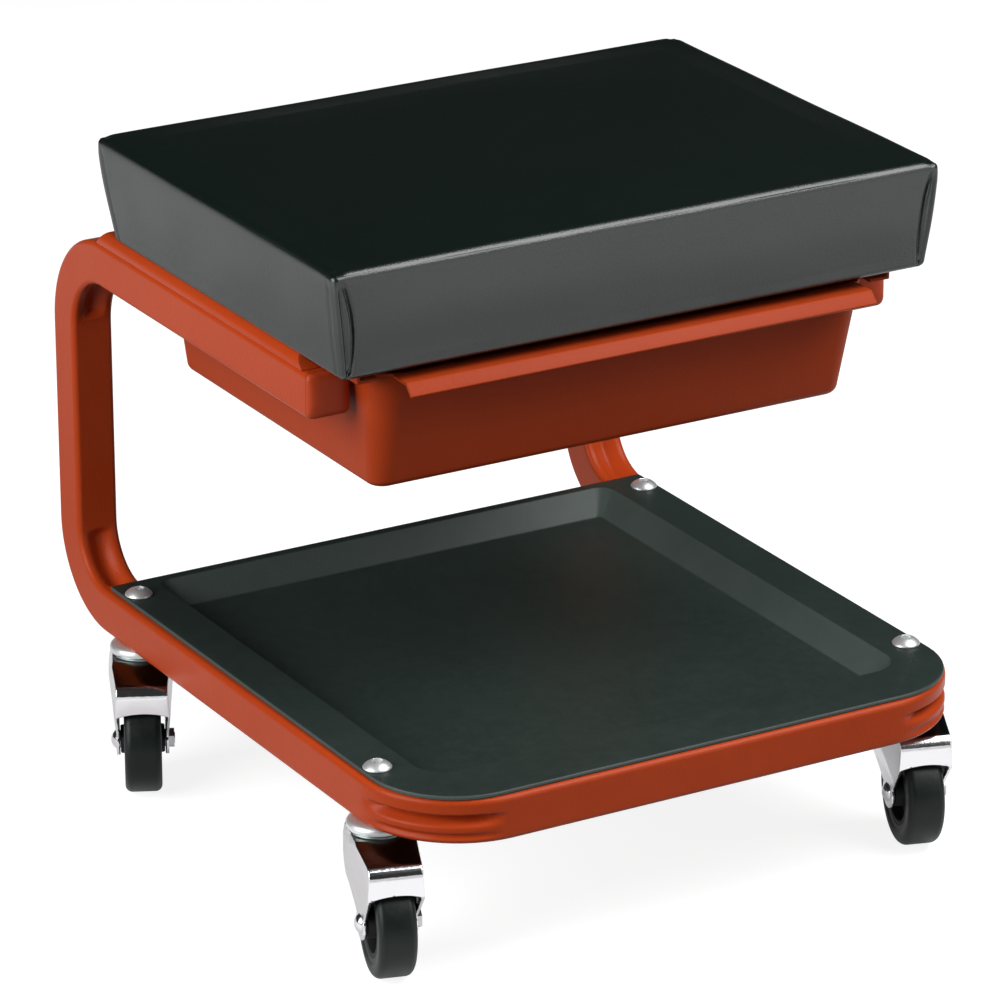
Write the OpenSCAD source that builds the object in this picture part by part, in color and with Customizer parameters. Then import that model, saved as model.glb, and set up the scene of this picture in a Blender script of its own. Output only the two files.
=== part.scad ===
// Creeper seat: a padded seat and a drawer on one bent square tube, with a tray and four swivel casters.
// X points to the right, Y to the rear and Z up. The floor is at zero, under the middle of the frame.

/* [Frame] */
// Width over the outer faces of the tube
frame_w = 356; // [330:1:400]
// Length from the front of the base to the rear of the posts
frame_l = 412; // [395:1:450]
// Side of the square tube
tube = 25; // [24:0.5:28]
// Wall of the tube
tube_wall = 1.5; // [1.2:0.1:1.8]
// Radius along the long edges of the tube
tube_edge_r = 3; // [2.5:0.1:4]
// Height of the top of the rails
rail_top = 314; // [300:1:340]
// How far the front ends of the rails lie behind the front of the base
rail_setback = 112; // [105:1:125]
// Outer radius of the bend from the base up into each post
low_bend_r = 54.5; // [52:0.5:60]
// Outer radius of the bend from each post into its rail
high_bend_r = 60; // [52:0.5:70]
// Outer radius of the two front corners
corner_bend_r = 60; // [54:0.5:66]
// Depth of the groove that bending leaves on the outside of the front corners
corner_groove = 2.5; // [1:0.1:3]
// Depth of the groove that bending leaves on the inside of the other bends
inner_groove = 4; // [1:0.1:4.5]
// Width of the grooves
groove_w = 12; // [8:0.5:14]

/* [Rail caps] */
// How far the domed face of a cap stands out of the rail
cap_h = 5.4; // [4:0.1:8]
// Rise of the dome over the sides of the cap
cap_dome = 2.5; // [1.5:0.1:3]
// Length of the plug inside the rail
cap_plug = 14; // [8:1:20]

/* [Seat strips] */
// Width of the strip between each rail and the seat
strip_w = 13; // [12:0.5:13]
// Height of the strip
strip_h = 8; // [7:0.5:12]
// Length of the strip
strip_l = 239; // [220:1:245]
// Radius of its upper edges and its ends
strip_edge_r = 3; // [1:0.5:4]
// Distance from the front end of the rail to the strip
strip_setback = 4; // [2:1:10]

/* [Seat] */
// How far the cushion's upper edge stands out past the tube on each side
cushion_lap = 5.4; // [4:0.1:8]
// Depth of the cushion along its upper edge
cushion_d = 266.9; // [255:0.1:275]
// Height of the cushion's sides, without the crown
cushion_h = 58; // [50:1:70]
// How far the cushion's front edge lies behind the front of the base
cushion_setback = 69.5; // [64:0.5:74]
// How much the cushion narrows on each side towards its underside
side_draw = 6.7; // [4:0.1:8]
// How much it draws in at the front towards its underside
front_draw = 3.2; // [2:0.1:6]
// How much it draws in at the rear towards its underside
rear_draw = 8.1; // [4:0.1:10]
// Rise of the crown over the upper edge
crown = 3; // [1:0.5:8]
// Radius of the rolled upper edge
cushion_edge_r = 4; // [3:0.5:8]
// Radius of the upright corners
cushion_corner_r = 10; // [6:1:16]
// Thickness of the vinyl
cover_t = 1.5; // [1:0.1:2]
// Width of the hem folded under the board
hem_w = 30; // [25:1:40]
// Thickness of the plywood board
board_t = 12; // [9:1:18]
// Radius of the board's corners
board_corner_r = 8; // [4:1:12]

/* [Seat fasteners] */
// Diameter of the seat screws
screw_d = 5; // [4:0.5:6]
// Diameter of their heads
screw_head_d = 9.5; // [8:0.5:11]
// Height of their heads
screw_head_h = 3; // [2:0.1:4]
// Distance from the outer face of the rail to a screw
screw_inset = 8.5; // [8:0.5:9]
// Distance from the ends of a strip to its screws
screw_end = 40; // [20:1:80]
// How far the screws stop below the top of the board
screw_short = 2; // [1:0.5:4]
// Length of a staple's crown
staple_w = 10; // [8:0.5:12]
// Thickness of staple wire
staple_wire = 0.8; // [0.6:0.1:1]
// Length of a staple's legs
staple_leg = 8; // [6:0.5:10]
// Distance between staples
staple_pitch = 48; // [30:1:70]
// Distance from the edge of the cushion's underside to the staples
staple_inset = 20; // [17:1:24]

/* [Drawer] */
// Height from the floor of the drawer to the top of the rails
drawer_h = 67; // [55:1:75]
// Wall of the drawer
drawer_wall = 2; // [1.8:0.1:3]
// How far the drawer's front wall lies behind the front of the base, along its underside
drawer_front_setback = 99; // [90:1:110]
// Length of the drawer's underside
drawer_l = 219; // [190:1:225]
// How much the front wall leans out towards the top
drawer_front_lean = 16.4; // [8:0.1:18]
// How much the rear wall leans out towards the top
drawer_rear_lean = 12.5; // [6:0.1:14]
// How much each side wall leans out towards the top
drawer_side_lean = 6.5; // [3:0.1:8]
// Radius of the upright corners
drawer_corner_r = 17; // [10:1:20]
// Radius along the edge of the underside
drawer_foot_r = 6; // [4:0.5:8]
// Gap between the drawer and the inner face of each rail
drawer_side_gap = 1.5; // [1:0.1:3]
// Running gap between the drawer's flanges and the top of the rails
slide_gap = 0.3; // [0.2:0.1:0.6]
// How far a flange lies over its rail
flange_lap = 10.5; // [8:0.5:11]
// Height of the upturned rim of a flange
flange_rim = 3.7; // [2:0.1:4]
// How far the flanges reach ahead of the drawer's front wall
flange_nose = 6.35; // [3:0.05:8]
// How far the flanges reach behind the drawer's rear wall
flange_tail = 3.5; // [1:0.5:8]
// How far the pull lip reaches ahead of the drawer's front wall
lip_reach = 13.35; // [8:0.05:16]
// How far the edge of the pull lip droops, at 45 degrees
lip_droop = 6; // [3:0.5:10]
// Distance from each end of the pull lip to the side wall
lip_inset = 8.9; // [4:0.1:20]

/* [Tray] */
// Thickness of the tray
tray_t = 2.5; // [2:0.1:3]
// Depth of the tray's sunk floor
tray_depth = 14; // [10:1:18]
// How far the tray's walls slope in towards its floor
tray_slope = 12; // [8:1:16]
// Distance from the side of the frame to the edge of the tray
tray_side_margin = 4; // [2:0.5:6]
// Distance from the front of the frame to the edge of the tray
tray_front_margin = 2.5; // [2:0.5:6]
// Radius of the tray's front corners
tray_corner_r = 50; // [45:1:55]
// Radius of the tray's rear corners
tray_rear_corner_r = 2; // [1:0.5:4]
// Radius of the front corners of the recess
recess_front_r = 18; // [14:1:22]
// Radius of the rear corners of the recess
recess_rear_r = 9; // [6:1:14]
// Width of the rim behind the recess
tray_rear_rim = 6.5; // [6:0.5:20]
// Gap between the recess and the tube on each side
recess_side_gap = 2.5; // [1.5:0.5:6]
// Gap between the recess and the tube in front
recess_front_gap = 9.75; // [9:0.25:16]

/* [Caster bolts] */
// Diameter of the bolts that hold the tray and the casters
bolt_d = 8; // [7:0.5:8]
// Diameter of their domed heads
bolt_head_d = 14; // [13:0.5:16]
// Height of their heads
bolt_head_h = 4.5; // [3.5:0.5:6]
// Width across the flats of the hexagon socket
bolt_socket = 5; // [4:0.5:5.5]
// Depth of the socket
bolt_socket_h = 2.5; // [1.5:0.5:3]
// How far the bolts reach below their nuts
bolt_tail = 4.8; // [2:0.1:5]
// Width across the flats of the nuts
nut_af = 13; // [12:0.5:14]
// Height of the nuts' hexagon
nut_h = 5; // [4:0.5:5.5]
// Height of the round collar under the hexagon
nut_collar_h = 1.5; // [1:0.1:2]
// Distance from the front of the base to the front bolts
front_bolt_inset = 62; // [58:1:70]
// Distance from the rear of the posts to the rear bolts
rear_bolt_inset = 74; // [70:1:90]

/* [Casters] */
// Height from the floor to the underside of the tube
caster_h = 81.5; // [80:0.5:88]
// Diameter of the wheel
wheel_d = 60; // [56:0.5:61]
// Width of the wheel
wheel_w = 20.8; // [18:0.1:22]
// Distance from the swivel axis to the axle
trail = 20; // [18:0.5:21]
// Thickness of the fork's sheet
fork_t = 2; // [1.5:0.1:2.2]
// Distance between the fork's legs at the axle
fork_gap = 25.4; // [25:0.1:27]
// Diameter of the axle bolt
axle_d = 6; // [5:0.5:6]
// Swivel of the front left caster, clockwise from above
front_left_swivel = 16.3; // [-180:0.1:180]
// Swivel of the rear left caster
rear_left_swivel = 26.1; // [-180:0.1:180]
// Swivel of the front right caster
front_right_swivel = 17.3; // [-180:0.1:180]
// Swivel of the rear right caster
rear_right_swivel = -26.1; // [-180:0.1:180]

/* [Caster bearings] */
// Diameter of the upper race
race_d = 34; // [33:0.5:35]
// Thickness of the upper race
race_t = 1.8; // [1.2:0.1:2]
// Height of the upper race over its skirt
race_h = 5; // [4.5:0.1:5.2]
// Diameter of the balls
ball_d = 4; // [3.5:0.1:4]
// Diameter of the circle of balls
ball_circle_d = 25; // [24:0.5:26]
// Number of balls
ball_count = 10; // [6:1:12]
// Outer diameter of the kingpin sleeve
kingpin_d = 12; // [11:0.5:12.5]
// Diameter of the kingpin's flange
kingpin_flange_d = 18; // [16:0.5:20]
// Thickness of the kingpin's flange
kingpin_flange_t = 2.4; // [2:0.1:2.6]

/* [Hidden] */
// Names of the casters, with their side, whether they are the rear ones, and their swivel
CASTERS = [
    ["front_left", -1, false, front_left_swivel],
    ["rear_left", -1, true, rear_left_swivel],
    ["front_right", 1, false, front_right_swivel],
    ["rear_right", 1, true, rear_right_swivel]
];
CASTER_PIECES = ["top_race", "kingpin", "balls", "fork", "bush", "axle_bolt", "axle_nut", "hub", "tyre"];

// Clearances, and the overrun of every cut
over = 1;
press_gap = 0.02;
run_gap = 0.05;
part_gap = 0.3;
hole_gap = 0.25;
cap_gap = 0.1;
$fn = 64;
quarter = 90;

// The frame's faces and centre lines
half_w = frame_w / 2;
front_y = -frame_l / 2;
rear_y = frame_l / 2;
half_tube = tube / 2;
tube_x = half_w - half_tube;
inner_x = half_w - tube;
base_low = caster_h;
base_top = base_low + tube;
base_z = base_low + half_tube;
rail_low = rail_top - tube;
rail_z = rail_top - half_tube;
rail_front = front_y + rail_setback;
rail_rear = rear_y - high_bend_r;
post_y = rear_y - half_tube;
// Share of each bend that the groove takes, and its height on the tube at the front corners
groove_share = 0.74;
corner_groove_rise_share = 0.12;

// The seat, from the strips upwards
strip_x = half_w - strip_w;
strip_front = rail_front + strip_setback;
strip_rear = strip_front + strip_l;
strip_top = rail_top + strip_h;
cushion_low = strip_top + part_gap;
cushion_edge_z = cushion_low + cushion_h;
cushion_top_x = half_w + cushion_lap;
cushion_front = front_y + cushion_setback;
cushion_rear = cushion_front + cushion_d;
board_low = cushion_low + cover_t;
board_top = board_low + board_t;
screw_x = half_w - screw_inset;
screw_ys = [strip_front + screw_end, strip_rear - screw_end];
// Swell of the cushion's sides, and the slots of the screw heads
cushion_swell = 0.8;
screw_slot_l = 5;
screw_slot_w = 1.2;
// Steps of the rounded outlines
edge_steps = 3;
corner_steps = 7;
side_steps = 4;
roll_steps = 4;
// Outline of the crown: how far in from the edge each ring lies, as a share of the half size
crown_shares = [0.12, 0.3, 0.55, 0.8];

// The drawer, hung by its flanges on the rails
drawer_low = rail_top - drawer_h;
drawer_top_x = inner_x - drawer_side_gap;
drawer_low_x = drawer_top_x - drawer_side_lean;
drawer_front = front_y + drawer_front_setback;
drawer_rear = drawer_front + drawer_l;
flange_low = rail_top + slide_gap;
flange_top = flange_low + drawer_wall;
flange_x = inner_x + flange_lap;
foot_steps = 3;

// The tray, laid on the base and sunk between its tubes
tray_top = base_top + tray_t;
tray_floor = tray_top - tray_depth;
tray_x = half_w - tray_side_margin;
tray_front = front_y + tray_front_margin;
tray_rear = rear_y - low_bend_r - part_gap;
recess_x = inner_x - recess_side_gap - tray_t;
recess_front = front_y + tube + recess_front_gap + tray_t;
recess_rear = tray_rear - tray_rear_rim;
tray_wall = tray_t * norm([tray_slope, tray_depth]) / tray_depth;

// The caster's bearing, downwards from the tube
race_skirt_t = 1.8;
race_low = caster_h - race_t;
skirt_low = caster_h - race_h;
ball_z = race_low - part_gap - ball_d / 2;
crown_top = ball_z - ball_d / 2 - run_gap;
crown_low = crown_top - fork_t;
crown_rim_top = skirt_low - part_gap;
crown_rim_step = 0.6;
crown_rim_t = 1.4;
crown_rim_r = race_d / 2 - crown_rim_step;
kingpin_low = crown_low - part_gap - kingpin_flange_t;
nut_low = kingpin_low - nut_h - nut_collar_h;
nut_collar_step = 1;
bolt_end = nut_low - bolt_tail;

// The fork: two legs, a skirt that swells round the crown, and a hood over the wheel
axle_z = wheel_d / 2;
leg_x = fork_gap / 2 + fork_t;
fork_span = crown_top - axle_z;
fork_back = 17;
fork_body_r = 18.5;
fork_bulge = 3.5;
hood_gap = 1.5;
nose_r = 7;
nose_step = 0.8;
boss_r = 9;
boss_front_angle = 27;
boss_rear_angle = 157;
nose_steps = 5;
// Heights as shares of the span from the axle to the crown, and the knee's reach as a share of the back
hood_share = 0.495;
nose_share = 0.74;
skirt_share = 0.617;
knee_shares = [0.53, 0.31];
// Heights on the fork, and how much of the bulge it has there
girth_shares = [[1, 0.3], [0.9, 0.85], [0.72, 1], [0.5, 0.6], [0.28, 0.1], [0.15, 0]];
hood_low = axle_z + fork_span * hood_share;
nose_z = axle_z + fork_span * nose_share;
fork_nose = trail + sqrt(axle_z ^ 2 - (hood_low - axle_z) ^ 2) + hood_gap + fork_t;
nose_x = leg_x - nose_step;
fork_deep = axle_z - boss_r - over;
nose_root = [fork_back - fork_nose + nose_r, crown_top - nose_z];
nose_angle = atan2(nose_root[1], nose_root[0]) - acos(nose_r / norm(nose_root));

// The axle and the wheel
bush_d = 10;
axle_head_d = 11;
axle_head_h = 3;
axle_nut_af = 10;
axle_nut_h = 3;
axle_tail = 0.4;
hub_d = 38;
hub_w = 19;
hub_rim_t = 2.5;
hub_web_t = 6;
hub_boss_d = 16;
hub_boss_w = fork_gap - 2 * part_gap;
tyre_round = 4;
tyre_seat_h = 3;

// Colours, as the photo shows them
paint = "#b9482a";
black_vinyl = "#1f2b2a";
black_plastic = "#2b3533";
black_rubber = "#1c1f1e";
bright_metal = "#d5d8dc";
plain_metal = "#9a9da1";
foam_colour = "#d9cf9a";
plywood = "#b98d5a";

// Where a caster's bolt stands, and pieces placed there
function bolt_y(rear) = rear ? rear_y - rear_bolt_inset : front_y + front_bolt_inset;

module at_bolt(corner)
    translate([corner[1] * tube_x, bolt_y(corner[2]), 0])
        children();

module at_caster(corner)
    at_bolt(corner)
        rotate([0, 0, -corner[3]])
            children();

// Turns a piece built on the Z axis onto the axle, its top to the right
module at_axle()
    translate([0, -trail, axle_z])
        rotate([0, quarter, 0])
            children();

// Holes of the bolts and of the seat screws, between two heights
module bolt_holes(low, high)
    for (corner = CASTERS)
        at_bolt(corner)
            translate([0, 0, low])
                cylinder(d = bolt_d + 2 * hole_gap, h = high - low);

module screw_holes(low, high, gap)
    for (side = [-1, 1], y = screw_ys)
        translate([side * screw_x, y, low])
            cylinder(d = screw_d + 2 * gap, h = high - low);

// Spherical cap that rises from level zero
module dome_head(d, h) {
    dome_r = (d ^ 2 / 4 + h ^ 2) / (2 * h);
    intersection() {
        cylinder(d = d, h = h);
        translate([0, 0, h - dome_r])
            sphere(r = dome_r);
    }
}

module hexagon(af, h)
    cylinder(d = af / cos(quarter / 3), h = h, $fn = 6);

// Level outline with rounded corners, as points that run anticlockwise seen from above
function ring(x, front, rear, z, front_r, rear_r) = [
    for (k = [0 : 3], i = [0 : corner_steps])
        let (
            r = k < 2 ? rear_r : front_r,
            side = k == 0 || k == 3 ? 1 : -1,
            y = k < 2 ? rear - r : front + r,
            a = quarter * (k + i / corner_steps)
        )
        [side * (x - r) + r * cos(a), y + r * sin(a), z]
];

function middle(points) = [for (axis = [0 : 2]) sum([for (p = points) p[axis]]) / len(points)];

function sum(values, i = 0) = i < len(values) ? values[i] + sum(values, i + 1) : 0;

function reversed(list) = [for (i = [len(list) - 1 : -1 : 0]) list[i]];

// Closed solid through a list of rings with equal numbers of points, with a cap at each end
module loft(rings) {
    n = len(rings[0]);
    last = len(rings) - 1;
    first_cap = n * len(rings);
    points = concat([for (r = rings, p = r) p], [middle(rings[0]), middle(rings[last])]);
    walls = [
        for (i = [0 : last - 1], j = [0 : n - 1])
            let (a = i * n + j, b = i * n + (j + 1) % n)
            each [[a, a + n, b + n], [a, b + n, b]]
    ];
    low_cap = [for (j = [0 : n - 1]) [first_cap, j, (j + 1) % n]];
    high_cap = [for (j = [0 : n - 1]) [first_cap + 1, last * n + (j + 1) % n, last * n + j]];
    polyhedron(points, concat(walls, low_cap, high_cap));
}

function heading(a) = [cos(a), sin(a)];

// Section of the tube, drawn in by a wall for its hollow
module tube_section(inset) {
    r = tube_edge_r - inset;
    reach = half_tube - inset - r;
    polygon([
        for (k = [0 : 3], i = [0 : edge_steps])
            reach * sqrt(2) * heading(quarter * (k + 1 / 2)) + r * heading(quarter * (k + i / edge_steps))
    ]);
}

// Straight run of the tube along the Z axis
module run(l, inset)
    linear_extrude(l)
        tube_section(inset);

// Quarter bend of the tube round the Z axis
module bend(bend_r, inset)
    rotate_extrude(angle = quarter)
        translate([bend_r - half_tube, 0])
            tube_section(inset);

// Round groove along the middle of a bend, on its outside (1) or its inside (-1)
module groove(bend_r, depth, side, rise, inset) {
    end_angle = quarter * (1 - groove_share) / 2;
    groove_r = (groove_w ^ 2 / 4 + depth ^ 2) / (2 * depth);
    wall_r = side > 0 ? bend_r : bend_r - tube;
    rotate([0, 0, end_angle])
        rotate_extrude(angle = quarter - 2 * end_angle)
            translate([wall_r + side * (groove_r - depth), rise])
                circle(r = groove_r + inset);
}

module at_high_bend(side)
    translate([side * tube_x, rail_rear, rail_top - high_bend_r])
        rotate([quarter, 0, quarter])
            children();

module at_low_bend(side)
    translate([side * tube_x, rear_y - low_bend_r, base_low + low_bend_r])
        rotate([quarter, 0, quarter])
            rotate([0, 0, -quarter])
                children();

module at_corner_bend(side)
    translate([side * (half_w - corner_bend_r), front_y + corner_bend_r, base_z])
        rotate([0, 0, side > 0 ? -quarter : 2 * quarter])
            children();

// The bent tube from one rail's end to the other; its hollow runs out of both ends
module bent_tube(inset) {
    end = inset > 0 ? over : 0;
    front_run = 2 * (half_w - corner_bend_r);
    difference() {
        union() {
            for (side = [-1, 1]) {
                translate([side * tube_x, rail_front - end, rail_z])
                    rotate([-quarter, 0, 0])
                        run(rail_rear - rail_front + end, inset);
                translate([side * tube_x, post_y, base_low + low_bend_r])
                    run(rail_top - high_bend_r - base_low - low_bend_r, inset);
                translate([side * tube_x, front_y + corner_bend_r, base_z])
                    rotate([-quarter, 0, 0])
                        run(frame_l - corner_bend_r - low_bend_r, inset);
                at_high_bend(side)
                    bend(high_bend_r, inset);
                at_low_bend(side)
                    bend(low_bend_r, inset);
                at_corner_bend(side)
                    bend(corner_bend_r, inset);
            }
            translate([-front_run / 2, front_y + half_tube, base_z])
                rotate([0, quarter, 0])
                    run(front_run, inset);
        }
        for (side = [-1, 1]) {
            at_high_bend(side)
                groove(high_bend_r, inner_groove, -1, 0, inset);
            at_low_bend(side)
                groove(low_bend_r, inner_groove, -1, 0, inset);
            at_corner_bend(side)
                groove(corner_bend_r, corner_groove, 1, tube * corner_groove_rise_share, inset);
        }
    }
}

module frame_tube()
    color(paint)
        difference() {
            bent_tube(0);
            bent_tube(tube_wall);
            bolt_holes(base_low - over, base_top + over);
            screw_holes(rail_low - over, rail_top + over, hole_gap);
        }

module rail_end_caps() {
    dome_r = (half_tube ^ 2 + cap_dome ^ 2) / (2 * cap_dome);
    color(paint)
        for (side = [-1, 1])
            translate([side * tube_x, rail_front, rail_z])
                rotate([quarter, 0, 0]) {
                    intersection() {
                        run(cap_h, 0);
                        translate([0, 0, cap_h - dome_r])
                            sphere(r = dome_r);
                    }
                    translate([0, 0, -cap_plug])
                        run(cap_plug, tube_wall + cap_gap);
                }
}

// Strip of the right rail: a section with round upper edges, cut to a plan with round ends
module seat_strip()
    difference() {
        intersection() {
            translate([strip_x, strip_rear, rail_top])
                rotate([quarter, 0, 0])
                    linear_extrude(strip_l) {
                        square([strip_w, strip_h - strip_edge_r]);
                        translate([strip_edge_r, 0])
                            square([strip_w - 2 * strip_edge_r, strip_h]);
                        for (x = [strip_edge_r, strip_w - strip_edge_r])
                            translate([x, strip_h - strip_edge_r])
                                circle(r = strip_edge_r);
                    }
            translate([strip_x, strip_front, rail_top])
                linear_extrude(strip_h)
                    rounded_plate(strip_w, strip_l, strip_edge_r);
        }
        screw_holes(rail_top - over, strip_top + over, hole_gap);
    }

// Rectangle with its corner at zero and round corners
module rounded_plate(w, l, r) {
    translate([r, 0])
        square([w - 2 * r, l]);
    translate([0, r])
        square([w, l - 2 * r]);
    for (x = [r, w - r], y = [r, l - r])
        translate([x, y])
            circle(r = r);
}

module seat_spacer_right()
    color(paint)
        seat_strip();

module seat_spacer_left()
    color(paint)
        mirror([1, 0, 0])
            seat_strip();

// Outline of the cushion's side at a height, drawn in towards the underside and swollen halfway up
function side_ring(z, inset) =
    let (
        down = (cushion_edge_z - z) / cushion_h,
        swell = cushion_swell * sin(2 * quarter * down)
    )
    ring(
        cushion_top_x - side_draw * down + swell - inset,
        cushion_front + front_draw * down - swell + inset,
        cushion_rear - rear_draw * down + swell - inset,
        z, cushion_corner_r - inset, cushion_corner_r - inset
    );

function crown_ring(share, inset) =
    let (
        x = (cushion_top_x - cushion_edge_r) * (1 - share),
        half_d = (cushion_d / 2 - cushion_edge_r) * (1 - share),
        y = (cushion_front + cushion_rear) / 2,
        r = (cushion_corner_r - cushion_edge_r) * (1 - share)
    )
    ring(x, y - half_d, y + half_d, cushion_edge_z - inset + crown * (1 - (1 - share) ^ 2), r, r);

// Rings of the cushion's form from a height upwards: its sides, the rolled edge and the crown
function cushion_rings(inset, low) =
    let (
        roll_r = cushion_edge_r - inset,
        roll_z = cushion_edge_z - cushion_edge_r
    )
    concat(
        [for (i = [0 : side_steps]) side_ring(low + (roll_z - low) * i / side_steps, inset)],
        [
            for (i = [1 : roll_steps])
                let (a = quarter * i / roll_steps)
                [
                    for (p = side_ring(roll_z, inset + roll_r * (1 - cos(a))))
                        [p[0], p[1], roll_z + roll_r * sin(a)]
                ]
        ],
        [for (share = crown_shares) crown_ring(share, inset)]
    );

// The cover: down inside from the crown, round the hem's edge and up the outside
module seat_cover() {
    window_x = cushion_top_x - side_draw - hem_w;
    window_front = cushion_front + front_draw + hem_w;
    window_rear = cushion_rear - rear_draw - hem_w;
    window = [
        for (z = [board_low, cushion_low])
            ring(window_x, window_front, window_rear, z, board_corner_r, board_corner_r)
    ];
    color(black_vinyl)
        difference() {
            loft(concat(reversed(cushion_rings(cover_t, board_low)), window, cushion_rings(0, cushion_low)));
            screw_holes(cushion_low - over, board_low + over, hole_gap);
        }
}

module seat_foam()
    color(foam_colour)
        loft(cushion_rings(cover_t + part_gap, board_top));

module seat_board() {
    board_x = cushion_top_x - side_draw - cover_t - part_gap;
    board_front = cushion_front + front_draw + cover_t + part_gap;
    board_rear = cushion_rear - rear_draw - cover_t - part_gap;
    color(plywood)
        difference() {
            translate([-board_x, board_front, board_low])
                linear_extrude(board_t)
                    rounded_plate(2 * board_x, board_rear - board_front, board_corner_r);
            screw_holes(board_low - over, board_top - screw_short, run_gap);
        }
}

module seat_screws()
    color(bright_metal)
        for (side = [-1, 1], y = screw_ys)
            translate([side * screw_x, y, rail_low]) {
                cylinder(d = screw_d, h = board_top - screw_short - rail_low);
                mirror([0, 0, 1])
                    difference() {
                        dome_head(screw_head_d, screw_head_h);
                        for (turn = [0, quarter])
                            rotate([0, 0, turn])
                                translate([0, 0, screw_head_h])
                                    cube([screw_slot_l, screw_slot_w, screw_head_h], center = true);
                    }
            }

// Evenly spaced places from low to high, as near to the staples' pitch as fits
function spread(low, high) =
    let (count = max(1, floor((high - low) / staple_pitch)))
    [for (i = [0 : count]) low + (high - low) * i / count];

module staple()
    for (part = [[0, 0, staple_w, staple_wire], [-1, 1, staple_wire, staple_leg], [1, 1, staple_wire, staple_leg]])
        translate([part[0] * (staple_w - staple_wire) / 2, 0, part[3] / 2 - staple_wire])
            cube([part[2], staple_wire, part[3]], center = true);

module cover_staples() {
    x = cushion_top_x - side_draw - staple_inset;
    front = cushion_front + front_draw + staple_inset;
    rear = cushion_rear - rear_draw - staple_inset;
    color(plain_metal)
        translate([0, 0, cushion_low]) {
            for (side = [-1, 1], y = spread(front + staple_inset, rear - staple_inset))
                translate([side * x, y, 0])
                    rotate([0, 0, quarter])
                        staple();
            for (y = [front, rear], at = spread(staple_inset - x, x - staple_inset))
                translate([at, y, 0])
                    staple();
        }
}

// Outline of the drawer at a height, drawn in by a wall for its inside
function drawer_ring(z, inset) =
    let (up = (z - drawer_low) / drawer_h, r = drawer_corner_r - inset)
    ring(
        drawer_low_x + drawer_side_lean * up - inset,
        drawer_front - drawer_front_lean * up + inset,
        drawer_rear + drawer_rear_lean * up - inset,
        z, r, r
    );

// Rings of the rounded foot and the wall up to the rim
function drawer_rings(inset) =
    let (r = drawer_foot_r - inset)
    concat(
        [
            for (i = [0 : foot_steps])
                let (a = quarter * i / foot_steps)
                drawer_ring(drawer_low + inset + r * (1 - cos(a)), inset + r * (1 - sin(a)))
        ],
        [drawer_ring(flange_top, inset)]
    );

module drawer() {
    up = (flange_top - drawer_low) / drawer_h;
    rim_x = drawer_low_x + drawer_side_lean * up;
    rim_front = drawer_front - drawer_front_lean * up;
    rim_rear = drawer_rear + drawer_rear_lean * up;
    flange_front = rim_front - flange_nose;
    flange_l = rim_rear + flange_tail - flange_front;
    root = -rim_front - drawer_wall / 2;
    tip = lip_reach - rim_front;
    slant = drawer_wall * sin(quarter / 2);
    color(paint) {
        loft(concat(drawer_rings(0), reversed(drawer_rings(drawer_wall))));
        for (side = [0, 1])
            mirror([side, 0, 0]) {
                translate([rim_x - drawer_wall / 2, flange_front, flange_low])
                    cube([flange_x - rim_x + drawer_wall / 2, flange_l, drawer_wall]);
                translate([flange_x - drawer_wall, flange_front, flange_low])
                    cube([drawer_wall, flange_l, drawer_wall + flange_rim]);
            }
        rotate([quarter, 0, -quarter])
            linear_extrude(2 * (drawer_top_x - lip_inset), center = true)
                polygon([
                    [root, flange_low],
                    [root, flange_top],
                    [tip, flange_top],
                    [tip + lip_droop, flange_top - lip_droop],
                    [tip + lip_droop - slant, flange_top - lip_droop - slant],
                    [tip - drawer_wall * tan(quarter / 4), flange_low]
                ]);
    }
}

// Outline of the recess at a height, widened by the wall for its underside
function recess_ring(z, outset) =
    let (in = tray_slope * (tray_top - z) / tray_depth - outset)
    ring(
        recess_x - in, recess_front + in, recess_rear - in, z,
        recess_front_r - tray_slope * (tray_top - z) / tray_depth / 2 + outset,
        recess_rear_r - tray_slope * (tray_top - z) / tray_depth / 2 + outset
    );

module tray()
    color(black_plastic)
        difference() {
            loft([
                recess_ring(tray_floor - tray_t, tray_wall),
                recess_ring(base_top, tray_wall),
                ring(tray_x, tray_front, tray_rear, base_top, tray_corner_r, tray_rear_corner_r),
                ring(tray_x, tray_front, tray_rear, tray_top, tray_corner_r, tray_rear_corner_r),
                recess_ring(tray_top, 0),
                recess_ring(tray_floor, 0)
            ]);
            bolt_holes(base_top - over, tray_top + over);
        }

module tray_bolts()
    color(bright_metal)
        for (corner = CASTERS)
            at_bolt(corner) {
                translate([0, 0, bolt_end])
                    cylinder(d = bolt_d, h = tray_top - bolt_end);
                translate([0, 0, tray_top])
                    difference() {
                        dome_head(bolt_head_d, bolt_head_h);
                        translate([0, 0, bolt_head_h - bolt_socket_h])
                            hexagon(bolt_socket, bolt_socket_h + over);
                    }
            }

module caster_nuts()
    color(plain_metal)
        for (corner = CASTERS)
            at_bolt(corner)
                translate([0, 0, nut_low])
                    difference() {
                        union() {
                            cylinder(d = nut_af - nut_collar_step, h = nut_collar_h);
                            translate([0, 0, nut_collar_h])
                                hexagon(nut_af, nut_h);
                        }
                        translate([0, 0, -over])
                            cylinder(d = bolt_d + 2 * run_gap, h = nut_h + nut_collar_h + 2 * over);
                    }

module top_race()
    color(bright_metal)
        translate([0, 0, skirt_low])
            difference() {
                cylinder(d = race_d, h = race_h);
                translate([0, 0, -over])
                    cylinder(d = race_d - 2 * race_skirt_t, h = race_h - race_t + over);
                cylinder(d = bolt_d + 2 * hole_gap, h = race_h + over);
            }

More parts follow.
